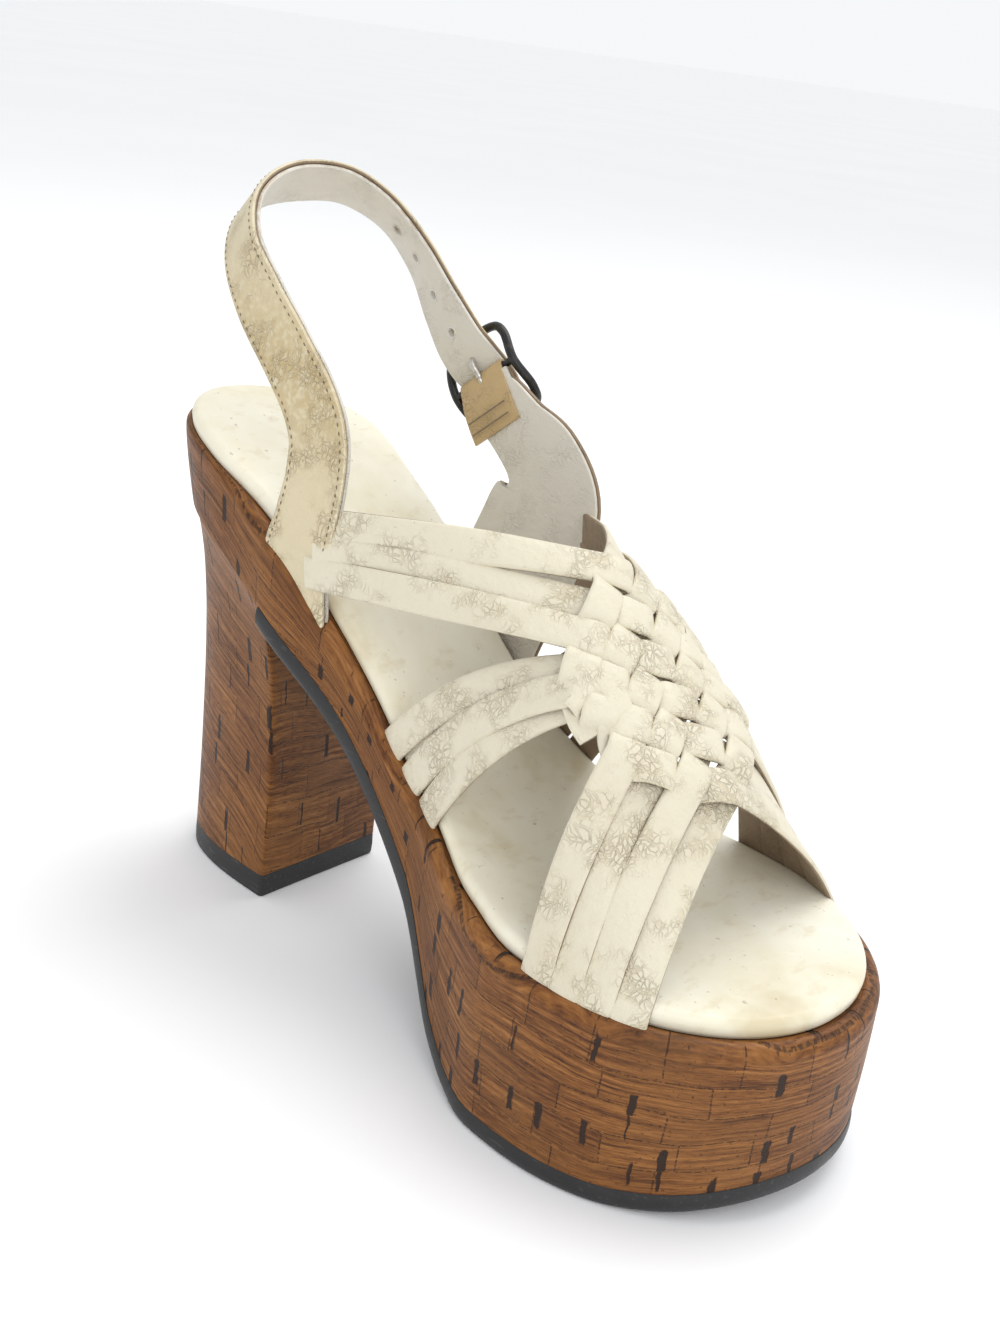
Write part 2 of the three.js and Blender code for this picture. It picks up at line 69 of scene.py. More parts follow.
# x and radius of the rolled rim, then x and height of the sole's upper edge and of its tread.
RIM = [(0, 1.4), (30, 1.4), (56, 4.2), (LENGTH, 4.2)]
TOP_EDGE = [
    (0, 127.9), (27, 123), (57, 108.5), (87, 80.5), (112, 59.4), (137, 47.8), (162, 46),
    (187, 44.9), (LENGTH, 44),
]
TREAD = [
    (BREAST, 84.6), (72, 72.8), (87, 60.2), (99, 48.6), (112, 34.2), (124, 17.6), (132, 8.6),
    (142, 2.2), (153, 0), (187, 0), (202, 1.4), (LENGTH, 6.2),
]
HEEL_FOOT_BACK = 9.8
HEEL_FOOT = {1: 18.8, 2: 24.4}
# Share of the heel's height, and how far its plan has grown there from the foot's to the seat's.
HEEL_FLARE = [(0, 0.02), (0.2, 0), (0.45, 0.06), (0.65, 0.2), (0.82, 0.46), (0.93, 0.75), (1, 1)]
# x and height of the instep over the sole's edge.
INSTEP = [
    (47, 116), (82, 112), (112, 99), (127, 86), (139, 73.5), (154, 59.5), (169, 47), (180, 38),
    (197, 28), (212, 22),
]
# Feet of the woven straps. On the inner quarter: x and height over the sole's edge. Behind the
# outer quarter: x, and the place along the edge from which the height is taken, and the height.
# Then x of those at the rim.
INNER_FEET = {1: (74.5, 24), 2: (72.5, 15), 3: (70.5, 7)}
OUTER_FEET = {1: (105.5, 107, 54), 2: (104.5, 106, 45.5), 3: (101.5, 106, 37)}
WAIST_FEET = {4: 100.5, 5: 108.3, 6: 116}
FRONT_FEET = {3: 167, 4: 174.4, 5: 181.8, 6: 189.2}
# Middle line of the sling strap from its foot to its tail, and of the outer quarter from its foot
# to the buckle: x, y, z, width, then tilt and turn of its width in degrees.
SLING = [
    (63.2, -24.6, 90.5, 24, -43, 3), (64, -25.3, 96, 24.5, -43, 4),
    (65.5, -26.8, 105.2, 21.4, -31, 5), (68.7, -27.8, 115.6, 19, -9, 4),
    (71, -27.9, 126.3, 19, 2, 2), (70.8, -27.6, 136.4, 19, 14, 2),
    (66.4, -27.2, 144.3, 18, 28, 3), (56.3, -26.8, 154.3, 17, 38, 3),
    (45.2, -26.2, 164.2, 17, 40, 0), (35.4, -23.9, 173.6, 17, 40, -9),
    (28, -17.2, 181.4, 17, 40, -11), (24, -7.2, 186.1, 17, 40, -10),
    (23.6, 3.9, 187.8, 17, 40, -22), (27, 14.7, 187.2, 17, 40, -38),
    (33.5, 23, 182, 17, 40, -40), (41.6, 27.8, 172.6, 17, 40, -31),
    (50, 29.6, 161.4, 17, 40, -15), (57.4, 31, 152.6, 17, 40, -4), (61.6, 33, 148.2, 17, 40, 0),
    (65.4, 35.7, 144.2, 16, 40, 0), (71.2, 35.9, 138, 15, 40, 0),
    (76.5, 35.4, 132.4, 14, 40, 0), (80.5, 35.2, 127.6, 8, 40, 0),
]
QUARTER = [
    (80, 27.4, 72, 33, -6, 0), (83, 28, 86, 34, -8, 0), (87, 28.8, 99, 35, -12, 0),
    (91.6, 29.5, 111, 36, -12, 0), (94, 29.9, 121, 33, 4, 0), (89.8, 30.2, 129.8, 26, 30, 0),
    (81, 30.6, 135.7, 20, 50, 0), (74.8, 31, 139.4, 18.6, 52, 0), (70.4, 31.4, 142, 17, 46, 0),
    (67.1, 32, 145.6, 16, 40, 0),
]
# The buckle. Its rows and the prong go down the strap from the middle bar: distance, y, and for the
# rows how far their ends are drawn in. The holes are up the strap from the bar.
BUCKLE_X, BUCKLE_Z, BUCKLE_TILT = 65, 145.4, math.radians(40)
BUCKLE_WIDTH, BAR = 25.4, 2.4
BUCKLE_ROWS = [(-11, 36.2, 3.4), (-8, 35.4, 0.7), (0, 34, 0), (8, 37.8, 0.4), (11, 40.3, 3.4)]
PRONG = [(-1.9, 32.2), (-5, 32), (-8.4, 37.9), (-12.6, 39.4)]
HOLES = [14.5, 25.1, 35.7, 46.3]


def place(p):
    return Vector((p[0] - HEEL_CENTRE[0], p[1] - HEEL_CENTRE[1], p[2])) * 0.001


def read(table, column, at):
    """Smooth value of a table's column, without overshoot between its rows."""
    last = len(table) - 1
    at = min(max(at, table[0][0]), table[last][0])

    def slope(i):
        return (table[i + 1][column] - table[i][column]) / (table[i + 1][0] - table[i][0])

    def bend(i):
        if i == 0:
            return slope(0)
        if i == last:
            return slope(last - 1)
        before, after = slope(i - 1), slope(i)
        return 0 if before * after <= 0 else 2 * before * after / (before + after)

    i = 0
    while i < last - 1 and at > table[i + 1][0]:
        i += 1
    span = table[i + 1][0] - table[i][0]
    s = (at - table[i][0]) / span
    rise = table[i + 1][column] - table[i][column]
    start, end = bend(i) * span - rise, rise - bend(i + 1) * span
    return table[i][column] + s * rise + s * (1 - s) * ((1 - s) * start + s * end)


def half_width(x, side):
    back, front = HEEL_ROUND[side], LENGTH - TOE_ROUND[side]
    wide = read(OUTLINE, side, min(max(x, back), front))
    if x < back:
        return wide * math.sqrt(max(0, 1 - ((back - x) / back) ** 2))
    if x > front:
        return wide * math.sqrt(max(0, 1 - ((x - front) / (LENGTH - front)) ** 2))
    return wide


def top_edge(x):
    return read(TOP_EDGE, 1, x)


def tread(x):
    return read(TREAD, 1, x)


def outsole_top(x):
    slope = tread(x + 0.5) - tread(x - 0.5)
    return tread(x) + OUTSOLE_THICK * min(math.sqrt(1 + slope * slope), 1.7)


def seat_taper(x):
    return SEAT_TAPER * max(0, 1 - x / BREAST)


def cork_bottom(x):
    return outsole_top(x) + JOINT if x > BREAST else top_edge(x) - SEAT_DEPTH


def ease(s):
    s = min(max(s, 0), 1)
    return s * s * (3 - 2 * s)


# ---- making pieces -----------------------------------------------------------------------------
def sheet(name, columns, rows, corner, metric):
    """A grid with every corner put in its place, and its own map in metres."""
    bpy.ops.mesh.primitive_grid_add(x_subdivisions=columns, y_subdivisions=rows, size=2)
    piece = bpy.context.object
    piece.name = piece.data.name = name
    mesh = piece.data
    spots = []
    for v in mesh.vertices:
        spot = (round((v.co.x + 1) / 2 * columns), round((v.co.y + 1) / 2 * rows))
        spots.append(spot)
        v.co = place(corner(*spot))
    own_map = mesh.uv_layers.active.data
    for loop in mesh.loops:
        own_map[loop.index].uv = metric(*spots[loop.vertex_index])
    return piece


def close(piece, angle=38):
    """Merges the seam, closes open ends, turns every face outwards and smooths."""
    bpy.ops.object.select_all(action="DESELECT")
    piece.select_set(True)
    bpy.context.view_layer.objects.active = piece
    bpy.ops.object.mode_set(mode="EDIT")
    bpy.ops.mesh.select_all(action="SELECT")
    bpy.ops.mesh.remove_doubles(threshold=0.000004)
    bpy.ops.mesh.fill_holes(sides=0)
    bpy.ops.mesh.select_all(action="SELECT")
    bpy.ops.mesh.normals_make_consistent(inside=False)
    bpy.ops.object.mode_set(mode="OBJECT")
    bpy.ops.object.shade_smooth_by_angle(angle=math.radians(angle))
    piece.select_set(False)
    return piece


def joined(name, parts):
    bpy.ops.object.select_all(action="DESELECT")
    for part in parts:
        part.select_set(True)
    bpy.context.view_layer.objects.active = parts[0]
    if len(parts) > 1:
        bpy.ops.object.join()
    piece = bpy.context.view_layer.objects.active
    piece.name = piece.data.name = name
    bpy.ops.object.transform_apply(location=True, rotation=True, scale=True)
    piece.select_set(False)
    return piece


def finish_piece(piece, material, slot, *nodes):
    piece.data.materials.clear()
    piece.data.materials.append(material)
    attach(piece, "root")
    if nodes:
        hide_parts(*nodes)
    return piece


def spline(points, steps):
    """Points on a smooth curve through the given ones, steps to each span."""
    points = [Vector(p) for p in points]
    ends = [points[0] * 2 - points[1], *points, points[-1] * 2 - points[-2]]
    made = []
    for k in range(len(points) - 1):
        p0, p1, p2, p3 = ends[k : k + 4]
        d0, d1, d2 = [
            max((b - a).length, 1e-6) ** 0.5 for a, b in ((p0, p1), (p1, p2), (p2, p3))
        ]
        t1 = ((p1 - p0) / d0 - (p2 - p0) / (d0 + d1) + (p2 - p1) / d1) * d1
        t2 = ((p2 - p1) / d1 - (p3 - p1) / (d1 + d2) + (p3 - p2) / d2) * d1
        for n in range(steps + (k == len(points) - 2)):
            s = n / steps
            bend2 = (p2 - p1) * 3 - t1 * 2 - t2
            bend3 = (p1 - p2) * 2 + t1 + t2
            made.append(p1 + t1 * s + bend2 * s * s + bend3 * s * s * s)
    return made


def lengths_of(points):
    total, made = 0, [0]
    for a, b in zip(points, points[1:]):
        total += (b - a).length
        made.append(total)
    return made


def section(back, side, crown):
    """Section of a strap, in shares of its width and thickness: its back, one turned edge up to
    the crown, and the other edge down."""
    other = [(-aside, high) for aside, high in reversed(side)]
    return [*((aside, 0) for aside in back), *side, (0, crown), *other]


STRAP_SECTION = section(
    (-0.44, -0.15, 0.15, 0.44),
    [(0.485, 0.14), (0.5, 0.42), (0.492, 0.72), (0.462, 0.93), (0.4, 1.04), (0.25, 1.12)],
    1.16,
)
LAYER_SECTION = section(
    (-0.47, 0, 0.47),
    [(0.492, 0.12), (0.5, 0.4), (0.495, 0.75), (0.475, 0.95), (0.44, 1), (0.22, 1.03)],
    1.05,
)


def strip(name, spine, low, thick, section, trim=0):
    """A strap along a spine of (centre, across, out, width), its inner face at height low."""
    distance = lengths_of([s[0] for s in spine])

    def corner(i, j):
        centre, across, out, width = spine[i]
        aside, high = section[j % len(section)]
        return centre + across * (aside * (width - trim)) + out * (low + high * thick)

    def metric(i, j):
        aside, high = section[j % len(section)]
        return (distance[i] * 0.001, 0.5 + aside * 0.98 if high > 0.5 else 1.5 + aside * 0.98)

    return close(sheet(name, len(spine) - 1, len(section), corner, metric))


def tube(name, path, radius, around=12, ring=False):
    """Round bar along a path; radius may vary along it."""
    count = len(path)
    if ring:
        path = [*path, path[0]]
    frames = []
    side = None
    for i, p in enumerate(path):
        if ring:
            ahead = path[(i + 1) % count] - path[(i - 1) % count]
        else:
            ahead = path[min(i + 1, count - 1)] - path[max(i - 1, 0)]
        ahead.normalize()
        if side is None:
            side = ahead.orthogonal().normalized()
        side = (side - ahead * side.dot(ahead)).normalized()
        frames.append((p, side.copy(), ahead.cross(side)))
    distance = lengths_of(path)

    def thick(i):
        return radius(i / (len(path) - 1)) if callable(radius) else radius

    def corner(i, j):
        p, a, b = frames[0] if ring and i == count else frames[i]
        turn = 2 * math.pi * j / around
        return p + (a * math.cos(turn) + b * math.sin(turn)) * thick(i)

    def metric(i, j):
        return (distance[i] * 0.001, j / around)

    return close(sheet(name, len(path) - 1, around, corner, metric), 60)


# ---- finishes ----------------------------------------------------------------------------------
class Finish:
    """A material built from plain nodes."""

    def __init__(self, name, roughness, **sockets):
        self.material = bpy.data.materials.new(name)
        self.material.use_nodes = True
        self.tree = self.material.node_tree
        self.shader = self.tree.nodes["Principled BSDF"]
        self.shader.inputs["Roughness"].default_value = roughness
        for socket, value in sockets.items():
            self.shader.inputs[socket.replace("_", " ")].default_value = value
        self.spots = self.tree.nodes.new("ShaderNodeTexCoord")

    def node(self, kind, inputs, out=0, **settings):
        made = self.tree.nodes.new("ShaderNode" + kind)
        for key, value in settings.items():
            setattr(made, key, value)
        for key, value in inputs.items():
            if isinstance(value, bpy.types.NodeSocket):
                self.tree.links.new(value, made.inputs[key])
            else:
                made.inputs[key].default_value = value
        return made.outputs[out]

    def mapped(self, source, scale, turn=(0, 0, 0)):
        if isinstance(source, str):
            source = self.spots.outputs[source]
        return self.node("Mapping", {"Vector": source, "Scale": scale, "Rotation": turn})

    def millimetres(self):
        return self.mapped("Object", (1000, 1000, 1000))

    def noise(self, where, scale, detail=3, rough=0.5, out="Fac"):
        inputs = {"Vector": where, "Scale": scale, "Detail": detail, "Roughness": rough}
        return self.node("TexNoise", inputs, out)

    def maths(self, operation, a, b=0.0):
        return self.node("Math", {0: a, 1: b}, operation=operation)

    def vector(self, operation, a, b=(0, 0, 0), out=0):
        return self.node("VectorMath", {0: a, 1: b}, out, operation=operation)

    def shaken(self, spots, noise, amount):
        """Spots moved by a noise's colour, whose whole range is amount."""
        moves = self.vector("SUBTRACT", noise, (0.5, 0.5, 0.5))
        return self.vector("ADD", spots, self.vector("MULTIPLY", moves, amount))

    def part(self, vector, axis):
        return self.node("SeparateXYZ", {"Vector": vector}, axis)

    def between(self, value, low, high, to_low=0.0, to_high=1.0):
        inputs = {"Value": value, "From Min": low, "From Max": high}
        inputs.update({"To Min": to_low, "To Max": to_high})
        return self.node("MapRange", inputs, interpolation_type="SMOOTHSTEP")

    def blend(self, amount, a, b, how="MIX"):
        made = self.tree.nodes.new("ShaderNodeMix")
        made.data_type = "RGBA"
        made.blend_type = how
        for socket, value in ((0, amount), (6, a), (7, b)):
            if isinstance(value, bpy.types.NodeSocket):
                self.tree.links.new(value, made.inputs[socket])
            elif socket:
                made.inputs[socket].default_value = (*value, 1)
            else:
                made.inputs[socket].default_value = value
        return made.outputs[2]

    def ramp(self, value, *stops):
        made = self.tree.nodes.new("ShaderNodeValToRGB")
        self.tree.links.new(value, made.inputs[0])
        band = made.color_ramp.elements
        band[0].position, band[0].color = stops[0][0], (*stops[0][1], 1)
        band[1].position, band[1].color = stops[-1][0], (*stops[-1][1], 1)
        for at, colour in stops[1:-1]:
            stop = band.new(at)
            stop.color = (*colour, 1)
        return made.outputs[0]

    def wear(self, colour, height, depth, strength=1.0, roughness=None):
        self.tree.links.new(colour, self.shader.inputs["Base Color"])
        inputs = {"Height": height, "Distance": depth, "Strength": strength}
        bump = self.node("Bump", inputs)
        self.tree.links.new(bump, self.shader.inputs["Normal"])
        if roughness is not None:
            self.tree.links.new(roughness, self.shader.inputs["Roughness"])
        return self.material


def cork_finish():
    f = Finish("cork", 0.5, Coat_Weight=0.03, Specular_IOR_Level=0.28)
    plan = f.mapped("UV", (1000, 1000, 1))
    sway = f.noise(f.mapped("UV", (26, 30, 1)), 1, 2, 0.5, "Color")
    plan = f.shaken(plan, sway, (3, 7, 0))
    strata = f.noise(f.mapped(plan, (0.035, 0.85, 1)), 1, 5, 0.62)
    fine = f.noise(f.mapped(plan, (0.3, 3.4, 1)), 1, 3, 0.6)
    specks = f.noise(f.mapped(plan, (0.9, 1.2, 1)), 1, 2, 0.5)
    broad = f.noise(f.mapped("Object", (1, 1, 1)), 38, 2, 0.5)
    grain = f.maths("ADD", f.maths("MULTIPLY", strata, 0.62), f.maths("MULTIPLY", fine, 0.38))
    colour = f.ramp(
        grain,
        (0.36, (0.03, 0.009, 0.002)),
        (0.44, (0.105, 0.034, 0.006)),
        (0.52, (0.2, 0.074, 0.014)),
        (0.64, (0.33, 0.14, 0.034)),
    )
    inputs = {"Vector": plan, "Scale": 1, "Brick Width": 23, "Row Height": 9.2}
    inputs.update({"Mortar Size": 0.22, "Mortar Smooth": 0.5, "Bias": 0.1})
    inputs.update({"Color1": (0.7, 0.62, 0.56, 1), "Color2": (1.12, 1.12, 1.12, 1)})
    inputs["Mortar"] = (0.8, 0.8, 0.8, 1)
    blocks = f.node("TexBrick", inputs, "Color", offset=0.37, squash=0.7, squash_frequency=3)
    joins = f.node("TexBrick", inputs, "Fac", offset=0.37, squash=0.7, squash_frequency=3)
    colour = f.blend(0.85, colour, blocks, "MULTIPLY")
    colour = f.blend(f.between(broad, 0.35, 0.7, 0, 0.3), colour, (0.27, 0.115, 0.03))
    joins = f.maths("MULTIPLY", joins, f.between(specks, 0.44, 0.56))
    # Slots of bark, upright and dark: one to a cell at most, of its own width.
    cell_wide, cell_high = 9.5, 12
    cells = f.mapped(plan, (1 / cell_wide, 1 / cell_high, 1))
    inputs = {"Vector": cells, "Scale": 1, "Randomness": 0.8}
    centre = f.node("TexVoronoi", inputs, "Position", voronoi_dimensions="2D")
    chance = f.node("TexVoronoi", inputs, "Color", voronoi_dimensions="2D")
    ragged = f.noise(f.mapped("UV", (700, 330, 1)), 1, 2, 0.5, "Color")
    away = f.vector("SUBTRACT", cells, centre)
    away = f.vector("MULTIPLY", away, (cell_wide, cell_high, 0))
    away = f.vector("ABSOLUTE", f.shaken(away, ragged, (1.5, 3.2, 0)))
    beside, above = f.part(away, "X"), f.part(away, "Y")
    luck = f.node("SeparateColor", {"Color": chance}, "Red")
    size = f.node("SeparateColor", {"Color": chance}, "Green")
    reach = f.between(size, 0, 1, 0.16, 0.85)
    slot = f.between(f.maths("SUBTRACT", beside, reach), -0.12, 0.2, 1, 0)
    slot = f.maths("MULTIPLY", slot, f.between(above, 3.1, 3.9, 1, 0))
    slot = f.maths("MULTIPLY", slot, f.maths("GREATER_THAN", luck, 0.5))
    dark = f.maths("MAXIMUM", slot, f.maths("MULTIPLY", joins, 0.7))
    pits = f.between(specks, 0.66, 0.72)
    dark = f.maths("MAXIMUM", dark, f.maths("MULTIPLY", pits, 0.6))
    colour = f.blend(dark, colour, (0.022, 0.008, 0.003))
    height = f.maths("SUBTRACT", f.maths("MULTIPLY", grain, 0.55), dark)
    rough = f.between(grain, 0.3, 0.7, 0.6, 0.42)
    return f.wear(colour, height, 0.0006, 0.75, rough)


# The default back colour is a darker leather back deepened into painted shade, so that the gaps
# between woven straps and their hidden faces read dark.
CUT_EDGE, PAINTED_SHADE_BACK = (0.8, 0.74, 0.58), (0.2, 0.13, 0.075)


def leather_finish(name, light, tan, crinkle, stain=None, under=PAINTED_SHADE_BACK):
    """Crinkled leather: light colour, tan in the creases, a paler cut edge and a back in the under
    colour, which by default is a darker leather back deepened with painted shade. A stain is a
    height, its reach up and down from there, and a colour."""
    roughness = 0.46
    f = Finish(name, roughness, Coat_Weight=0.06, Coat_Roughness=0.35)
    spots = f.millimetres()
    moved = f.shaken(spots, f.noise(spots, 0.16, 3, 0.55, "Color"), (6, 6, 6))

    def cracks(scale, turn, width):
        inputs = {"Vector": f.mapped(moved, scale, turn), "Scale": 1}
        edges = f.node("TexVoronoi", inputs, "Distance", feature="DISTANCE_TO_EDGE")
        return f.between(edges, 0.0, width, 1, 0)

    creases = cracks((0.62, 0.3, 0.3), (0.5, 0.6, 0.35), 0.11)
    second = cracks((0.26, 0.7, 0.42), (0.2, -0.7, 0.9), 0.1)
    where = f.between(f.noise(spots, 0.11, 2, 0.5), 0.42, 0.66)
    creases = f.maths("MULTIPLY", f.maths("MAXIMUM", creases, second), where)
    pores = f.noise(spots, 2.6, 3, 0.6)
    soft = f.noise(spots, 0.5, 3, 0.55)
    patches = f.noise(spots, 0.055, 3, 0.55)
    colour = f.blend(f.between(patches, 0.4, 0.75, 0, 0.22), light, tan)
    colour = f.blend(f.maths("MULTIPLY", creases, 0.5 * crinkle), colour, tan)
    colour = f.blend(f.between(pores, 0.6, 0.75, 0, 0.3 * crinkle), colour, tan)
    if stain is not None:
        height, reach, shade = stain
        up = f.part(spots, "Z")
        away = f.maths("ABSOLUTE", f.maths("SUBTRACT", up, height))
        amount = f.maths("MULTIPLY", f.between(away, 0, reach, 1, 0), f.between(soft, 0.3, 0.6))
        colour = f.blend(f.maths("MULTIPLY", amount, 0.75), colour, shade)
    specks = f.between(f.noise(spots, 0.75, 2, 0.5), 0.7, 0.76, 0, 0.35)
    colour = f.blend(specks, colour, (0.36, 0.28, 0.17))
    across = f.part(f.spots.outputs["UV"], "Y")
    aside = f.maths("ABSOLUTE", f.maths("SUBTRACT", across, 0.5))
    cut = f.maths("MULTIPLY", f.between(aside, 0.462, 0.484), f.between(aside, 0.5, 0.52, 1, 0))
    colour = f.blend(f.maths("MULTIPLY", cut, 0.6), colour, CUT_EDGE)
    # A strap's back faces (map v over 1) take the under colour, which by default is painted shade.
    beneath = f.maths("GREATER_THAN", across, 1.0)
    colour = f.blend(f.maths("MULTIPLY", beneath, 0.9), colour, under)
    height = f.maths("SUBTRACT", f.maths("MULTIPLY", soft, 0.9), f.maths("MULTIPLY", creases, 0.6))
    height = f.maths("ADD", height, f.maths("MULTIPLY", pores, 0.16))
    rough = f.between(soft, 0.35, 0.65, roughness + 0.07, roughness - 0.06)
    return f.wear(colour, height, 0.0005, 0.45 + 0.4 * crinkle, rough)


def insole_finish():
    f = Finish("insole_leather", 0.42, Coat_Weight=0.05, Coat_Roughness=0.4)
    spots = f.millimetres()
    patches = f.noise(spots, 0.03, 4, 0.6)
    colour = f.ramp(
        patches,
        (0.3, (0.63, 0.55, 0.37)),
        (0.45, (0.76, 0.71, 0.55)),
        (0.7, (0.83, 0.8, 0.68)),
    )
    rubbed = f.noise(f.mapped("Object", (260, 120, 200), (0, 0, 0.4)), 1, 3, 0.6)
    colour = f.blend(f.between(rubbed, 0.55, 0.72, 0, 0.4), colour, (0.62, 0.52, 0.33))
    toe = f.vector("DISTANCE", spots, (146, -41, 47), "Value")
    toe = f.maths("ADD", toe, f.maths("MULTIPLY", f.noise(spots, 0.4, 3, 0.6), 5))
    colour = f.blend(f.between(toe, 5, 8.5, 0.7, 0), colour, (0.47, 0.3, 0.1))
    pores = f.noise(spots, 1.7, 3, 0.6)
    soft = f.noise(spots, 0.22, 3, 0.5)
    marks = f.between(f.noise(spots, 0.6, 2, 0.5), 0.7, 0.75, 0, 0.5)
    colour = f.blend(marks, colour, (0.3, 0.25, 0.18))
    height = f.maths("ADD", f.maths("MULTIPLY", pores, 0.12), soft)
    return f.wear(colour, height, 0.0005, 0.35, f.between(soft, 0.35, 0.65, 0.5, 0.36))


def rubber_finish(name, dark, grey, roughness, scratches):
    f = Finish(name, roughness)
    spots = f.millimetres()
    dust = f.noise(spots, 0.09, 4, 0.6)
    fine = f.noise(spots, 1.6, 3, 0.6)
    drawn = f.noise(f.mapped("Object", (90, 1600, 900), (0, 0, 0.3)), 1, 2, 0.5)
    worn = f.between(drawn, 0.6, 0.72, 0, scratches)
    colour = f.blend(f.between(dust, 0.4, 0.75, 0, 0.6), dark, grey)
    colour = f.blend(worn, colour, (0.09, 0.088, 0.084))
    height = f.maths("SUBTRACT", fine, f.maths("MULTIPLY", worn, 0.6))
    rough = f.between(dust, 0.3, 0.7, roughness, roughness + 0.14)
    return f.wear(colour, height, 0.0003, 0.25, rough)


def metal_finish(name, base, worn, metallic, roughness):
    f = Finish(name, roughness, Metallic=metallic)
    spots = f.millimetres()
    patches = f.noise(spots, 0.5, 4, 0.6)
    fine = f.noise(spots, 4, 2, 0.6)
    colour = f.blend(f.between(patches, 0.5, 0.72, 0, 0.6), base, worn)
    rough = f.between(patches, 0.35, 0.7, roughness - 0.05, roughness + 0.14)
    return f.wear(colour, f.maths("ADD", fine, patches), 0.00015, 0.3, rough)


CORK = cork_finish()
CREAM = (0.68, 0.625, 0.485)
STRAPS = leather_finish("strap_leather", CREAM, (0.5, 0.41, 0.25), 0.85)
SLING_FACE = leather_finish(
    "sling_leather", (0.64, 0.555, 0.37), (0.44, 0.33, 0.17), 1.0, (150, 30, (0.47, 0.35, 0.16))
)
LINING = leather_finish(
    "lining_leather",
    (0.62, 0.6, 0.55),
    (0.5, 0.46, 0.39),
    0.35,
    (186, 17, (0.36, 0.24, 0.12)),
    under=(0.6, 0.56, 0.48),
)
LOOP = leather_finish(
    "loop_leather", (0.52, 0.38, 0.19), (0.33, 0.21, 0.085), 0.9, under=(0.46, 0.32, 0.15)
)
INSOLE = insole_finish()
OUTSOLE = rubber_finish("outsole_rubber", (0.008, 0.008, 0.009), (0.02, 0.02, 0.021), 0.36, 0.25)
LIFT = rubber_finish("lift_rubber", (0.012, 0.012, 0.013), (0.03, 0.03, 0.03), 0.46, 0.6)
ENAMEL = metal_finish("black_enamel", (0.012, 0.011, 0.01), (0.05, 0.045, 0.04), 0.25, 0.28)
STEEL = metal_finish("prong_steel", (0.56, 0.54, 0.5), (0.34, 0.3, 0.25), 1.0, 0.3)
THREAD = leather_finish("thread", (0.2, 0.15, 0.09), (0.1, 0.07, 0.04), 0.5)


# ---- sole unit ---------------------------------------------------------------------------------
HALF_STEPS = 104


def sole_stations(low, high):
    made = []
    for k in range(HALF_STEPS + 1):
        even = k / HALF_STEPS
        crowded = (1 - math.cos(math.pi * even)) / 2
        made.append(low + (high - low) * (even + (crowded - even) * 0.92))
    return made


class Round:
    """The sole's outline as a ring: up the inner side to the toe and back down the outer side."""

    def __init__(self, low=0):
        xs = sole_stations(low, LENGTH)
        self.xs = [*xs, *reversed(xs[:-1])]
        self.sides = [1] * len(xs) + [2] * (len(xs) - 1)
        self.points = []
        for x, side in zip(self.xs, self.sides):
            wide = half_width(x, side)
            self.points.append(Vector((x, -wide if side == 1 else wide, 0)))
        self.count = len(self.points) - 1
        self.lengths = lengths_of(self.points)
        self.normals = []
        closed = (self.points[0] - self.points[-1]).length < 0.01
        for i in range(self.count + 1):
            if closed and i in (0, self.count):
                ahead = self.points[1] - self.points[-2]
            else:
                ahead = self.points[min(i + 1, self.count)] - self.points[max(i - 1, 0)]
            self.normals.append(Vector((ahead.y, -ahead.x, 0)).normalized())

    def at(self, i, inset):
        return self.points[i] - self.normals[i] * inset

    def spine(self, i, share):
        x = min(max(self.xs[i], 30), LENGTH - 46)
        middle = (half_width(x, 2) - half_width(x, 1)) / 2
        return self.points[i].lerp(Vector((x, middle, 0)), share)


ROUND = Round()


def layer_piece(name, outline, rows, u_v):
    """A closed layer: rows of functions of the ring's index that give each point."""

    def corner(i, j):
        return rows[j](i)

    return close(sheet(name, outline.count, len(rows) - 1, corner, u_v))


def on_spine(outline, share, height):
    def row(i):
        p = outline.spine(i, share)
        return Vector((p.x, p.y, height(p.x)))

    return row


def on_edge(outline, inset, height):
    def row(i):
        x = outline.xs[i]
        p = outline.at(i, inset(x))
        return Vector((p.x, p.y, height(min(max(p.x, 0), LENGTH), x)))

    return row


def rolled(steps, inset, height, radius):
    """Rows of a quarter round, from a face out and down to a wall."""
    rows = []
    for k in range(steps + 1):
        turn = math.pi / 2 * k / steps
        rows.append(
            on_edge(
                ROUND,
                lambda x, t=turn: inset(x) + radius(x) * (1 - math.sin(t)),
                lambda px, x, t=turn: height(px) - radius(x) * (1 - math.cos(t)),
            )
        )
    return rows


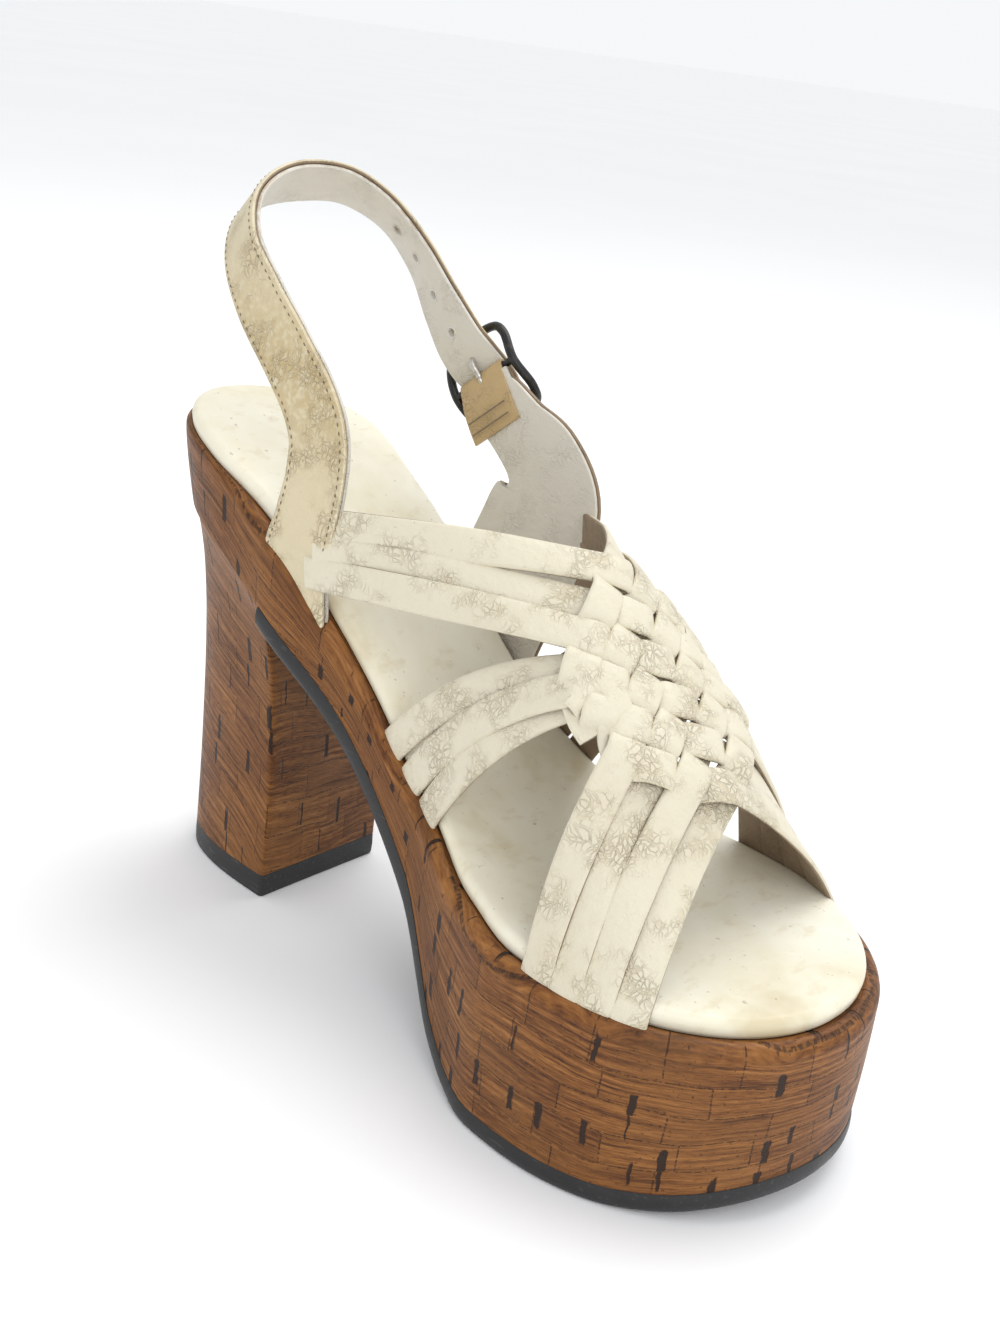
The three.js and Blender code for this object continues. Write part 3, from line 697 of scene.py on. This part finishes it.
def cork_platform():
    def roll(x):
        return read(RIM, 1, x) * 0.8

    rows = [
        on_spine(ROUND, 1, lambda x: top_edge(x) - 1),
        on_spine(ROUND, 0.5, lambda x: top_edge(x) - 1),
        on_edge(ROUND, lambda x: roll(x) + 2.2, lambda px, x: top_edge(px) - 0.9),
        on_edge(ROUND, lambda x: roll(x) + 1.1, lambda px, x: top_edge(px) - 0.3),
    ]
    # depths are the map's v, in millimetres down the piece's outside
    depths = [-3, -2, -2.2, -1.1]
    arc, walls = 7, 16
    rows += rolled(arc, lambda x: 0, lambda px: top_edge(px) + 0.25, roll)
    depths += [k / arc * 1.5 for k in range(arc + 1)]
    for k in range(1, walls + 1):
        share = k / walls

        def inset(x, s=share):
            swell = 0.25 * math.sin(math.pi * s) if x > BREAST else 0
            return seat_taper(x) * s**1.35 - swell

        def height(px, x, s=share):
            top = top_edge(px) - roll(x)
            return top + (cork_bottom(px) - top) * s

        rows.append(on_edge(ROUND, inset, height))
        depths.append(1.5 + share * 100)
    rows.append(on_edge(ROUND, lambda x: seat_taper(x) + 6, lambda px, x: cork_bottom(px)))
    rows.append(on_spine(ROUND, 1, cork_bottom))
    depths += [103, 108]

    def metric(i, j):
        x = ROUND.xs[i]
        depth = depths[j]
        if 1.5 < depth <= 101.5:
            share = (depth - 1.5) / 100
            deep = top_edge(x) - cork_bottom(x) - roll(x)
            even = deep + (WHOLE_SIDE - deep) * ease((x - BREAST) / 50)
            depth = 1.5 + share * even
        return (ROUND.lengths[i] * 0.001, depth * 0.001)

    piece = layer_piece("platform_cork", ROUND, rows, metric)
    return finish_piece(piece, CORK, "cork", "platform")


def outsole_sheet():
    outline = Round(BREAST + 0.1)

    def above(share):
        """Height at a share of the sheet's thickness."""

        def height(px, x):
            at = max(px, BREAST)
            return tread(at) + (outsole_top(at) - tread(at)) * share

        return height

    rows = [on_spine(outline, 1, outsole_top)]
    for inset, rise in ((5, 0), (0.05, 0.3), (-0.2, 0.1)):
        rows.append(
            on_edge(outline, lambda x, d=inset: d, lambda px, x, r=rise: outsole_top(px) + r)
        )
    edge = [(0.82, -0.42), (0.5, -0.5), (0.25, -0.35), (0.1, 0), (0.02, 0.55), (0, 1.4), (0, 6)]
    for share, inset in edge:
        rows.append(on_edge(outline, lambda x, d=inset: d, above(share)))
    rows.append(on_spine(outline, 1, lambda x: tread(max(x, BREAST))))

    def corner(i, j):
        p = rows[j](i)
        p.x = max(p.x, BREAST + 0.1)
        p.z = max(p.z, 0)
        return p

    def metric(i, j):
        return (outline.lengths[i] * 0.001, j * 0.002)

    piece = close(sheet("outsole_sheet", outline.count, len(rows) - 1, corner, metric))
    return finish_piece(piece, OUTSOLE, "outsole", "outsole")


def insole_pad():
    def face(x):
        return top_edge(x) + JOINT + INSOLE_THICK

    def rim(x):
        return read(RIM, 1, x)

    rows = [
        on_spine(ROUND, 1, lambda x: face(x) - 0.5),
        on_spine(ROUND, 0.75, lambda x: face(x) - 0.4),
        on_spine(ROUND, 0.5, lambda x: face(x) - 0.1),
        on_edge(ROUND, lambda x: rim(x) + 6, lambda px, x: face(px) + 0.15),
        on_edge(ROUND, lambda x: rim(x) + 3.6, lambda px, x: face(px) + 0.1),
    ]
    rows += rolled(8, rim, face, lambda x: 2.2)
    for inset, rise in ((0.2, 0.6), (0.9, -0.5), (4, -0.7)):
        rows.append(
            on_edge(
                ROUND, lambda x, d=inset: rim(x) + d, lambda px, x, r=rise: top_edge(px) + r
            )
        )
    rows.append(on_spine(ROUND, 1, lambda x: top_edge(x) - 0.7))

    def metric(i, j):
        return (ROUND.lengths[i] * 0.001, j * 0.001)

    piece = layer_piece("insole_pad", ROUND, rows, metric)
    return finish_piece(piece, INSOLE, "insole", "insole")


SIDE_STEPS, FACE_STEPS, CORNER = 30, 14, 1.3


def heel_side(side, widen):
    """Plan points of one side, from the middle of the back to the breast corner."""
    made = []
    boxy = 2 / 2.7
    for i in range(SIDE_STEPS + 1):
        angle = math.pi / 2 * i / SIDE_STEPS
        reach = max(math.cos(angle), 0) ** boxy
        aside = math.sin(angle)
        seat_x = BREAST * (1 - reach)
        wide = half_width(seat_x, side)
        taper = seat_taper(seat_x)
        inward = max(wide - taper * wide / math.hypot(wide, taper, 0.1), 0.6 * min(1, aside * 8))
        at = taper + seat_x * (LENGTH - 2 * taper) / LENGTH
        foot_x = BREAST_FOOT - (BREAST_FOOT - HEEL_FOOT_BACK) * reach
        x = foot_x * (1 - widen) + at * widen
        y = HEEL_FOOT[side] * aside**boxy * (1 - widen) + inward * min(1, aside * 8) * widen
        made.append(Vector((x, -y if side == 1 else y, 0)))
    return made


def turned_corner(before, corner, after):
    a = corner + (before - corner).normalized() * CORNER
    b = corner + (after - corner).normalized() * CORNER
    return [
        a * (1 - s) ** 2 + corner * 2 * s * (1 - s) + b * s * s for s in (0, 0.25, 0.5, 0.75, 1)
    ]


def heel_ring(widen):
    """Plan of the heel block: back, inner side, breast, outer side, back."""
    inner, outer = heel_side(1, widen), heel_side(2, widen)
    ring = [*inner[:-1], *turned_corner(inner[-2], inner[-1], outer[-1])]
    start, end = inner[-1], outer[-1]
    for k in range(1, FACE_STEPS):
        ring.append(start.lerp(end, k / FACE_STEPS))
    turned = turned_corner(inner[-1], outer[-1], outer[-2])
    ring += [*turned[:3], turned[2], *turned[3:]]
    ring += reversed(outer[:-1])
    return ring


def heel_map():
    """Map u of the ring, so that the cork's pattern goes on from the seat round the heel."""
    ring = heel_ring(1)
    run = lengths_of(ring)
    split = SIDE_STEPS + 5 + FACE_STEPS - 1 + 3
    shift = ROUND.lengths[-1] - run[-1]
    return [u if k < split else u + shift for k, u in enumerate(run)]


def heel_cork():
    floor = LIFT_THICK
    levels = [k / 30 for k in range(31)]
    rings = [heel_ring(read(HEEL_FLARE, 1, share)) for share in levels]
    us = heel_map()
    tops = [top_edge(p.x) - SEAT_DEPTH for p in rings[-1]]

    def corner(i, j):
        p = rings[j][i]
        roof = top_edge(p.x) - SEAT_DEPTH
        return Vector((p.x, p.y, floor + (roof - floor) * levels[j]))

    def metric(i, j):
        deep = (tops[i] - floor) * (1 - levels[j])
        return (us[i] * 0.001, (SEAT_DEPTH + deep) * 0.001)

    piece = close(sheet("heel_cork", len(rings[0]) - 1, len(levels) - 1, corner, metric))
    return finish_piece(piece, CORK, "cork", "heel")


def heel_lift():
    ring = heel_ring(0.02)
    middle = Vector((HEEL_CENTRE[0], HEEL_CENTRE[1], 0))
    levels = [(0, 0.9), (0.12, 0.35), (0.6, 0), (3.4, -0.12), (6.2, 0), (6.75, 0.1)]
    levels.append((LIFT_THICK, 0.5))
    run = lengths_of(ring)

    def corner(i, j):
        z, inset = levels[j]
        p = ring[i]
        inward = (middle - p).normalized() * inset
        return Vector((p.x + inward.x, p.y + inward.y, z))

    def metric(i, j):
        return (run[i] * 0.001, levels[j][0] * 0.001)

    lift = close(sheet("heel_lift", len(ring) - 1, len(levels) - 1, corner, metric))
    for x, y in ((24, 9), (24, -4), (42, 3)):
        bpy.ops.mesh.primitive_cylinder_add(
            vertices=20, radius=0.0016, depth=0.0014, location=place((x, y, 0.2))
        )
        nail = bpy.context.object
        nail.select_set(False)
        cut(lift, nail)
    return finish_piece(lift, LIFT, "top_lift", "top_lift")


def cut(piece, tool):
    """Takes a tool's shape out of a piece."""
    bpy.ops.object.select_all(action="DESELECT")
    bpy.context.view_layer.objects.active = piece
    piece.select_set(True)
    bpy.ops.object.modifier_add(type="BOOLEAN")
    modifier = piece.modifiers[-1]
    modifier.operation = "DIFFERENCE"
    modifier.solver = "EXACT"
    modifier.object = tool
    bpy.ops.object.modifier_apply(modifier=modifier.name)
    bpy.data.objects.remove(tool)
    piece.select_set(False)


# ---- straps over the foot ----------------------------------------------------------------------
# The straps lie on the foot's own shape: x along it, and round_ from 0 at the inner rim over the
# top to 1 at the outer rim.
def last_point(x, round_):
    inner = half_width(x, 1) - RIM_INSET
    outer = half_width(x, 2) - RIM_INSET
    angle = math.pi * round_
    power = 2 / ROUNDNESS
    aside = math.copysign(abs(math.cos(angle)) ** power, math.cos(angle))
    up = abs(math.sin(angle)) ** power
    y = (outer - inner) / 2 - (outer + inner) / 2 * aside
    return Vector((x, y, top_edge(x) + JOINT + (read(INSTEP, 1, x) - 2) * up))


def last_normal(x, round_):
    along = last_point(x + 0.5, round_) - last_point(x - 0.5, round_)
    near = min(max(round_, 0.004), 0.996)
    over = last_point(x, near + 0.003) - last_point(x, near - 0.003)
    return -over.cross(along).normalized()


# The weave: its first crossing, its pitch along the foot and round it, how the rows bend, and
# heights over the foot's shape.
WEAVE_X, WEAVE_PITCH, WEAVE_HOLLOW = 138.6, 3.95, 0.27
WEAVE_CENTRE, WEAVE_SPREAD, WEAVE_CURL = 0.494, 0.055, 0.0165
LAST_ROW = 6.1
UNDER, OVER, TUCKED = 0, 2.35, -0.9
TURN_RADIUS, TURN_REACH = 4.6, 9.9
SPAN_STEPS, FREE_STEPS = 14, 26
FOOT_DEPTH = 3.5


def crossing(i, j):
    """Where strap i of the outer set meets strap j of the inner set."""
    aside = i - j
    spread = WEAVE_SPREAD * aside * (1 - WEAVE_CURL * aside * aside)
    x = WEAVE_X + WEAVE_PITCH * (i + j - 2) - WEAVE_HOLLOW * aside * aside
    return x, WEAVE_CENTRE + spread


def row_at(k):
    return LAST_ROW if k == 6 else k


def at_rim(x, aside, low_bow, high_bow):
    foot, out = last_point(x, max(aside, 0)), last_normal(x, max(aside, 0))
    return foot + out * TUCKED, out, low_bow, high_bow


def near_end(row, outer):
    """Foot of a strap at the waist: its place, its outward side, and how its first and last thirds
    bow from the straight."""
    aside = 1 if outer else -1
    if row in WAIST_FEET:
        low_bow, high_bow = Vector((0, aside * 2.5, 8.5)), Vector((0, aside * 2, 6.5))
        return at_rim(WAIST_FEET[row], aside, low_bow, high_bow)
    bow = Vector((4, aside * 5.5, 3))
    if outer:
        x, edge_x, rise = OUTER_FEET[row]
        foot = Vector((x, 30.6, top_edge(edge_x) + rise))
        return foot, Vector((0, 1, 0)), Vector((1, 4.5, 0)), bow
    x, rise = INNER_FEET[row]
    return Vector((x, -28.3, top_edge(x) + rise)), Vector((0, -1, 0)), bow * 0.8, bow


def far_end(row, outer):
    """Foot of a strap at the forepart, as for near_end."""
    aside = 1 if outer else -1
    low_bow, high_bow = Vector((0, aside * 3, 4.5)), Vector((0, aside * 3.5, 3.5))
    return at_rim(FRONT_FEET[row], aside, low_bow, high_bow)


def spot(outer, own, other):
    """Strap own of one set where it crosses strap other of the other set."""
    i, j = (own, other) if outer else (other, own)
    over = (i + j) % 2 == int(outer)
    return (*crossing(row_at(i), row_at(j)), OVER if over else UNDER)


def turn_round(corner_x, corner_round, outer, before, after):
    """The bend in which a strap comes back into the weave."""
    sign = -1 if outer else 1
    made = []
    for k, angle in enumerate((-150, -120, -90, -60, -30)):
        a = math.radians(angle)
        x = corner_x + TURN_RADIUS * math.cos(a)
        s = corner_round * LAST_GIRTH + sign * (TURN_REACH + TURN_RADIUS * math.sin(a))
        made.append((x, s / LAST_GIRTH, before + (after - before) * ease(k / 4)))
    return made


def free_length(end, centre, normal):
    """A taut length from a strap's foot to where it enters the weave."""
    foot, out, low_bow, high_bow = end
    a = foot.lerp(centre, 1 / 3) + low_bow
    b = foot.lerp(centre, 2 / 3) + high_bow
    made = []
    for k in range(FREE_STEPS):
        s = k / FREE_STEPS
        p = foot * (1 - s) ** 3 + a * 3 * s * (1 - s) ** 2 + b * 3 * s * s * (1 - s) + centre * s**3
        made.append((p, out.lerp(normal, ease(s)).normalized()))
    return made


def woven_strap(name, spots, start=None, finish=None):
    """A strap through spots of (x, round, height), with a free length at either end. It keeps its
    height over the middle of each crossing and changes between them."""
    path = spline([(x, r * LAST_GIRTH, 0) for x, r, _ in spots], SPAN_STEPS)
    lifts = []
    for (_, _, a), (_, _, b) in zip(spots, spots[1:]):
        for k in range(SPAN_STEPS):
            lifts.append(a + (b - a) * ease((k / SPAN_STEPS - 0.28) / 0.44))
    lifts.append(spots[-1][2])
    laid = []
    for p, lift in zip(path, lifts):
        normal = last_normal(p.x, p.y / LAST_GIRTH)
        laid.append((last_point(p.x, p.y / LAST_GIRTH) + normal * lift, normal))
    if start:
        laid = free_length(start, *laid[0]) + laid
    if finish:
        laid += reversed(free_length(finish, *laid[-1]))
    spine = []
    for i, (centre, normal) in enumerate(laid):
        ahead = laid[min(i + 1, len(laid) - 1)][0] - laid[max(i - 1, 0)][0]
        ahead.normalize()
        out = (normal - ahead * normal.dot(ahead)).normalized()
        spine.append((centre, out.cross(ahead), out, STRAP_WIDTH))
    if start and start[1].z != 0:
        spine.insert(0, (spine[0][0] - Vector((0, 0, FOOT_DEPTH)), *spine[0][1:]))
    if finish:
        spine.append((spine[-1][0] - Vector((0, 0, FOOT_DEPTH)), *spine[-1][1:]))
    return strip(name, spine, 0, STRAP_THICK, STRAP_SECTION)


def woven_straps():
    """Five straps from the inner side and five from the outer. The first of each turns round at the
    far edge of the weave, the second ends under that turn, and the others go on to the forepart.
    A waist strap on each side ends inside the weave."""
    straps = []
    for n, outer in [(n, outer) for n in range(1, 6) for outer in (False, True)]:
        spots = [spot(outer, n, k) for k in range(1, 6)]
        edge = spot(outer, n, 6)
        finish = far_end(n, not outer) if n > 2 else None
        if n == 1:
            heights = (UNDER, OVER) if outer else (OVER, UNDER)
            spots += turn_round(*edge[:2], not outer, *heights)
            spots += [spot(not outer, 6, k) for k in range(3, 7)]
            finish = far_end(6, outer)
        elif n == 2:
            spots += [(*edge[:2], UNDER)]
        else:
            spots += [edge]
        name = f"strap_{'out' if outer else 'in'}_{n}"
        straps.append(woven_strap(name, spots, near_end(n, outer), finish))
    for outer in (False, True):
        spots = []
        for i in (1, 1.5, 2):
            x, r = crossing(i, LAST_ROW)
            spots.append((x, 1 - r if outer else r, UNDER))
        name = "strap_waist_out" if outer else "strap_waist_in"
        straps.append(woven_strap(name, spots, near_end(6, outer)))
    for strap in straps:
        finish_piece(strap, STRAPS, "strap_leather", "upper")


# ---- sling strap, outer quarter and buckle -----------------------------------------------------
def table_spine(table, steps, inward):
    rows = [(k, *row) for k, row in enumerate(table)]
    path = spline([row[:3] for row in table], steps)
    spine = []
    for k, centre in enumerate(path):
        at = k / steps
        tilt, turn = (math.radians(read(rows, c, at)) for c in (5, 6))
        ahead = path[min(k + 1, len(path) - 1)] - path[max(k - 1, 0)]
        ahead.normalize()
        across = Vector((math.cos(tilt), math.sin(turn), math.sin(tilt)))
        out = ahead.cross(across).normalized()
        if inward:
            out.negate()
        spine.append((centre, out.cross(ahead).normalized(), out, read(rows, 4, at)))
    return spine


def stitches(name, spine, height, inset, long=1.25, pitch=2.1, radius=0.21, skip=0, stop=0):
    """Short threads along both edges of a strap, proud of its face."""
    made = []
    for side in (-1, 1):
        line = []
        for centre, across, out, width in spine:
            line.append(centre + across * (side * (width / 2 - inset)) + out * height)
        run = lengths_of(line)
        at = skip
        while at + long < run[-1] - stop:
            ends = []
            for want in (at, at + long / 2, at + long):
                k = max(n for n, d in enumerate(run[:-1]) if d <= want)
                share = (want - run[k]) / max(run[k + 1] - run[k], 1e-6)
                ends.append(line[k].lerp(line[k + 1], share))
            out = spine[k][2]
            ends[0] -= out * 0.18
            ends[2] -= out * 0.18
            made.append(tube(name, ends, lambda s: radius * (0.55 + 1.8 * s * (1 - s)), 6))
            at += pitch
    return joined(name, made)


def at_buckle(down, across, y):
    x = BUCKLE_X + down * math.sin(BUCKLE_TILT) + across * math.cos(BUCKLE_TILT)
    z = BUCKLE_Z - down * math.cos(BUCKLE_TILT) + across * math.sin(BUCKLE_TILT)
    return Vector((x, y, z))


TAIL_Y = 29.6
SPINE_STEPS = 8


def sling_strap():
    spine = table_spine(SLING, SPINE_STEPS, True)
    half = SLING_THICK / 2
    face = strip("sling_face", spine, half, half, LAYER_SECTION)
    back = strip("sling_lining", spine, 0.04, half - 0.1, LAYER_SECTION, 0.35)
    rims = []
    for down in HOLES:
        middle = at_buckle(-down, 0, TAIL_Y)
        centre, across, out, _ = min(spine, key=lambda s: (s[0] - middle).length)
        turn = out.to_track_quat("Z", "Y").to_euler()
        for layer in (face, back):
            where = place(centre + out * half)
            bpy.ops.mesh.primitive_cylinder_add(
                vertices=24, radius=0.0011, depth=0.009, location=where, rotation=turn
            )
            cut(layer, bpy.context.object)
        for side in (0.1, SLING_THICK + 0.02):
            bpy.ops.mesh.primitive_torus_add(
                major_segments=28,
                minor_segments=8,
                major_radius=0.00145,
                minor_radius=0.0003,
                location=place(centre + out * side),
                rotation=turn,
            )
            rims.append(bpy.context.object)
    finish_piece(face, SLING_FACE, "sling_leather", "sling_strap")
    finish_piece(back, LINING, "sling_leather", "sling_strap")
    finish_piece(joined("hole_rims", rims), LINING, "sling_leather", "sling_strap")
    sewn = stitches("sling_stitches", spine, SLING_THICK + 0.06, 1.5, skip=14, stop=4)
    finish_piece(sewn, THREAD, "sling_leather", "sling_strap")


def outer_quarter():
    spine = table_spine(QUARTER, SPINE_STEPS, False)
    half = SLING_THICK / 2
    face = strip("quarter_face", spine, half, half, LAYER_SECTION)
    back = strip("quarter_lining", spine, 0.04, half - 0.1, LAYER_SECTION, 0.35)
    finish_piece(face, SLING_FACE, "sling_leather", "buckle_strap")
    finish_piece(back, LINING, "sling_leather", "buckle_strap")
    sewn = stitches("quarter_stitches", spine, SLING_THICK + 0.06, 1.5, skip=14, stop=6)
    finish_piece(sewn, THREAD, "sling_leather", "buckle_strap")
    # The tab folds round the buckle's middle bar: distance down the strap from the bar, and y.
    fold = [(15, 30.1), (10, 30.3), (5, 30.9), (2, 31.8), (0, 32.2), (-1.5, 32.9), (-1.9, 34)]
    fold += [(-1.4, 35), (0, 35.5), (2, 35.3), (5, 34.6), (9, 34)]
    path = spline([at_buckle(down, 0, y) for down, y in fold], 6)
    across = Vector((math.cos(BUCKLE_TILT), 0, math.sin(BUCKLE_TILT)))
    spine = []
    for k, centre in enumerate(path):
        ahead = (path[min(k + 1, len(path) - 1)] - path[max(k - 1, 0)]).normalized()
        wide = 17.6 - 1.4 * ease(k / len(path) * 2)
        spine.append((centre, across, ahead.cross(across).normalized(), wide))
    tab = strip("buckle_tab", spine, 0, 0.9, LAYER_SECTION)
    finish_piece(tab, LOOP, "sling_leather", "buckle_strap")
    ends = []
    for down in (12.6, 9.4):
        line = []
        for k in range(9):
            line.append(at_buckle(down, -7 + 14 * k / 8, 29.05 + (12.6 - down) * 0.04))
        ends.append(tube("fold_line", line, 0.22, 8))
    finish_piece(joined("tab_stitching", ends), THREAD, "sling_leather", "buckle_strap")


def buckle():
    side = (BUCKLE_WIDTH - BAR) / 2
    rows = [(down, y, side - inset) for down, y, inset in BUCKLE_ROWS]
    ring = [at_buckle(down, -aside, y) for down, y, aside in rows]
    ring += [at_buckle(down, aside, y) for down, y, aside in reversed(rows)]
    ring = spline([*ring, ring[0], ring[1]], 10)
    ring = ring[: len(BUCKLE_ROWS) * 2 * 10]
    around = tube("buckle_ring", ring, BAR / 2, 14, True)
    middle = [at_buckle(0, -side + 2 * side * k / 10, 34) for k in range(11)]
    bar = tube("buckle_bar", middle, BAR / 2 - 0.2, 14)
    finish_piece(joined("buckle_frame_bar", [around, bar]), ENAMEL, "buckle_black", "buckle_frame")
    path = spline([at_buckle(down, 0, y) for down, y in [(-0.6, 32.4), *PRONG, (-13.4, 39.3)]], 7)
    pin = tube("prong_pin", path, lambda s: 0.9 - 0.35 * max(0, (s - 0.75) / 0.25) ** 2, 12)
    eye = []
    for k in range(20):
        turn = 2 * math.pi * k / 20
        eye.append(at_buckle(1.75 * math.cos(turn), 0, 34 + 1.75 * math.sin(turn)))
    eye = tube("prong_eye", eye, 0.6, 10, True)
    finish_piece(joined("prong", [pin, eye]), STEEL, "prong_steel", "buckle_prong")


# ---- stage, light and camera, in metres --------------------------------------------------------
FLOOR_SIZE = 90
CAMERA_AT = Vector((0.30071, -0.27944, 0.22954))
LEVEL_LOOK = Vector((-0.72672, 0.44814, -0.52062))
AIM = Vector((0.0815, -0.0055, 0.0885))
ROLL = 0.02
SENSOR, LENS = 36, 42.13


def stage():
    bpy.ops.mesh.primitive_grid_add(x_subdivisions=30, y_subdivisions=30, size=FLOOR_SIZE)
    floor = bpy.context.object
    floor.name = "floor"
    floor.select_set(False)
    f = Finish("pale_floor", 0.75)
    tone = f.between(f.noise(f.mapped("Object", (1, 1, 1)), 2.2, 3, 0.5), 0.3, 0.7, 0.0, 1.0)
    colour = f.blend(tone, (0.95, 0.95, 0.955), (0.97, 0.97, 0.97))
    f.wear(colour, tone, 0.0001, 0.05)
    floor.data.materials.append(f.material)

    world = bpy.data.worlds.new("studio")
    bpy.context.scene.world = world
    world.use_nodes = True
    background = world.node_tree.nodes["Background"]
    background.inputs["Color"].default_value = (0.97, 0.985, 1, 1)
    background.inputs["Strength"].default_value = 0.95

    def lamp(name, size, power, where, aim):
        bpy.ops.object.light_add(type="AREA", location=where)
        light = bpy.context.object
        light.name = name
        light.data.shape = "DISK"
        light.data.size = size
        light.data.energy = power
        light.rotation_euler = (Vector(aim) - Vector(where)).to_track_quat("-Z", "Y").to_euler()
        light.select_set(False)

    lamp("overhead", 1.0, 7, (0.1, 0.55, 1.2), (0.08, 0, 0.05))
    lamp("side", 0.9, 3.5, (0.9, -0.6, 0.8), (0.08, 0, 0.06))


def camera():
    """Looks one way, a little rolled, and is then turned to its aim the short way."""
    ahead = LEVEL_LOOK.normalized()
    right = ahead.cross(Vector((0, 0, 1))).normalized()
    up = right.cross(ahead) * math.cos(ROLL) + right * math.sin(ROLL)
    base = Matrix((ahead.cross(up), up, -ahead)).transposed().to_quaternion()
    turned = ahead.rotation_difference((AIM - CAMERA_AT).normalized())
    bpy.ops.object.camera_add(location=CAMERA_AT)
    made = bpy.context.object
    made.name = "camera"
    made.rotation_mode = "QUATERNION"
    made.rotation_quaternion = turned @ base
    made.data.sensor_width = SENSOR
    made.data.lens = LENS
    made.data.clip_start, made.data.clip_end = 0.01, 50
    bpy.context.scene.camera = made
    made.select_set(False)


cork_platform()
outsole_sheet()
insole_pad()
heel_cork()
heel_lift()
woven_straps()
sling_strap()
outer_quarter()
buckle()
stage()
camera()
bpy.context.scene.view_settings.view_transform = "Standard"
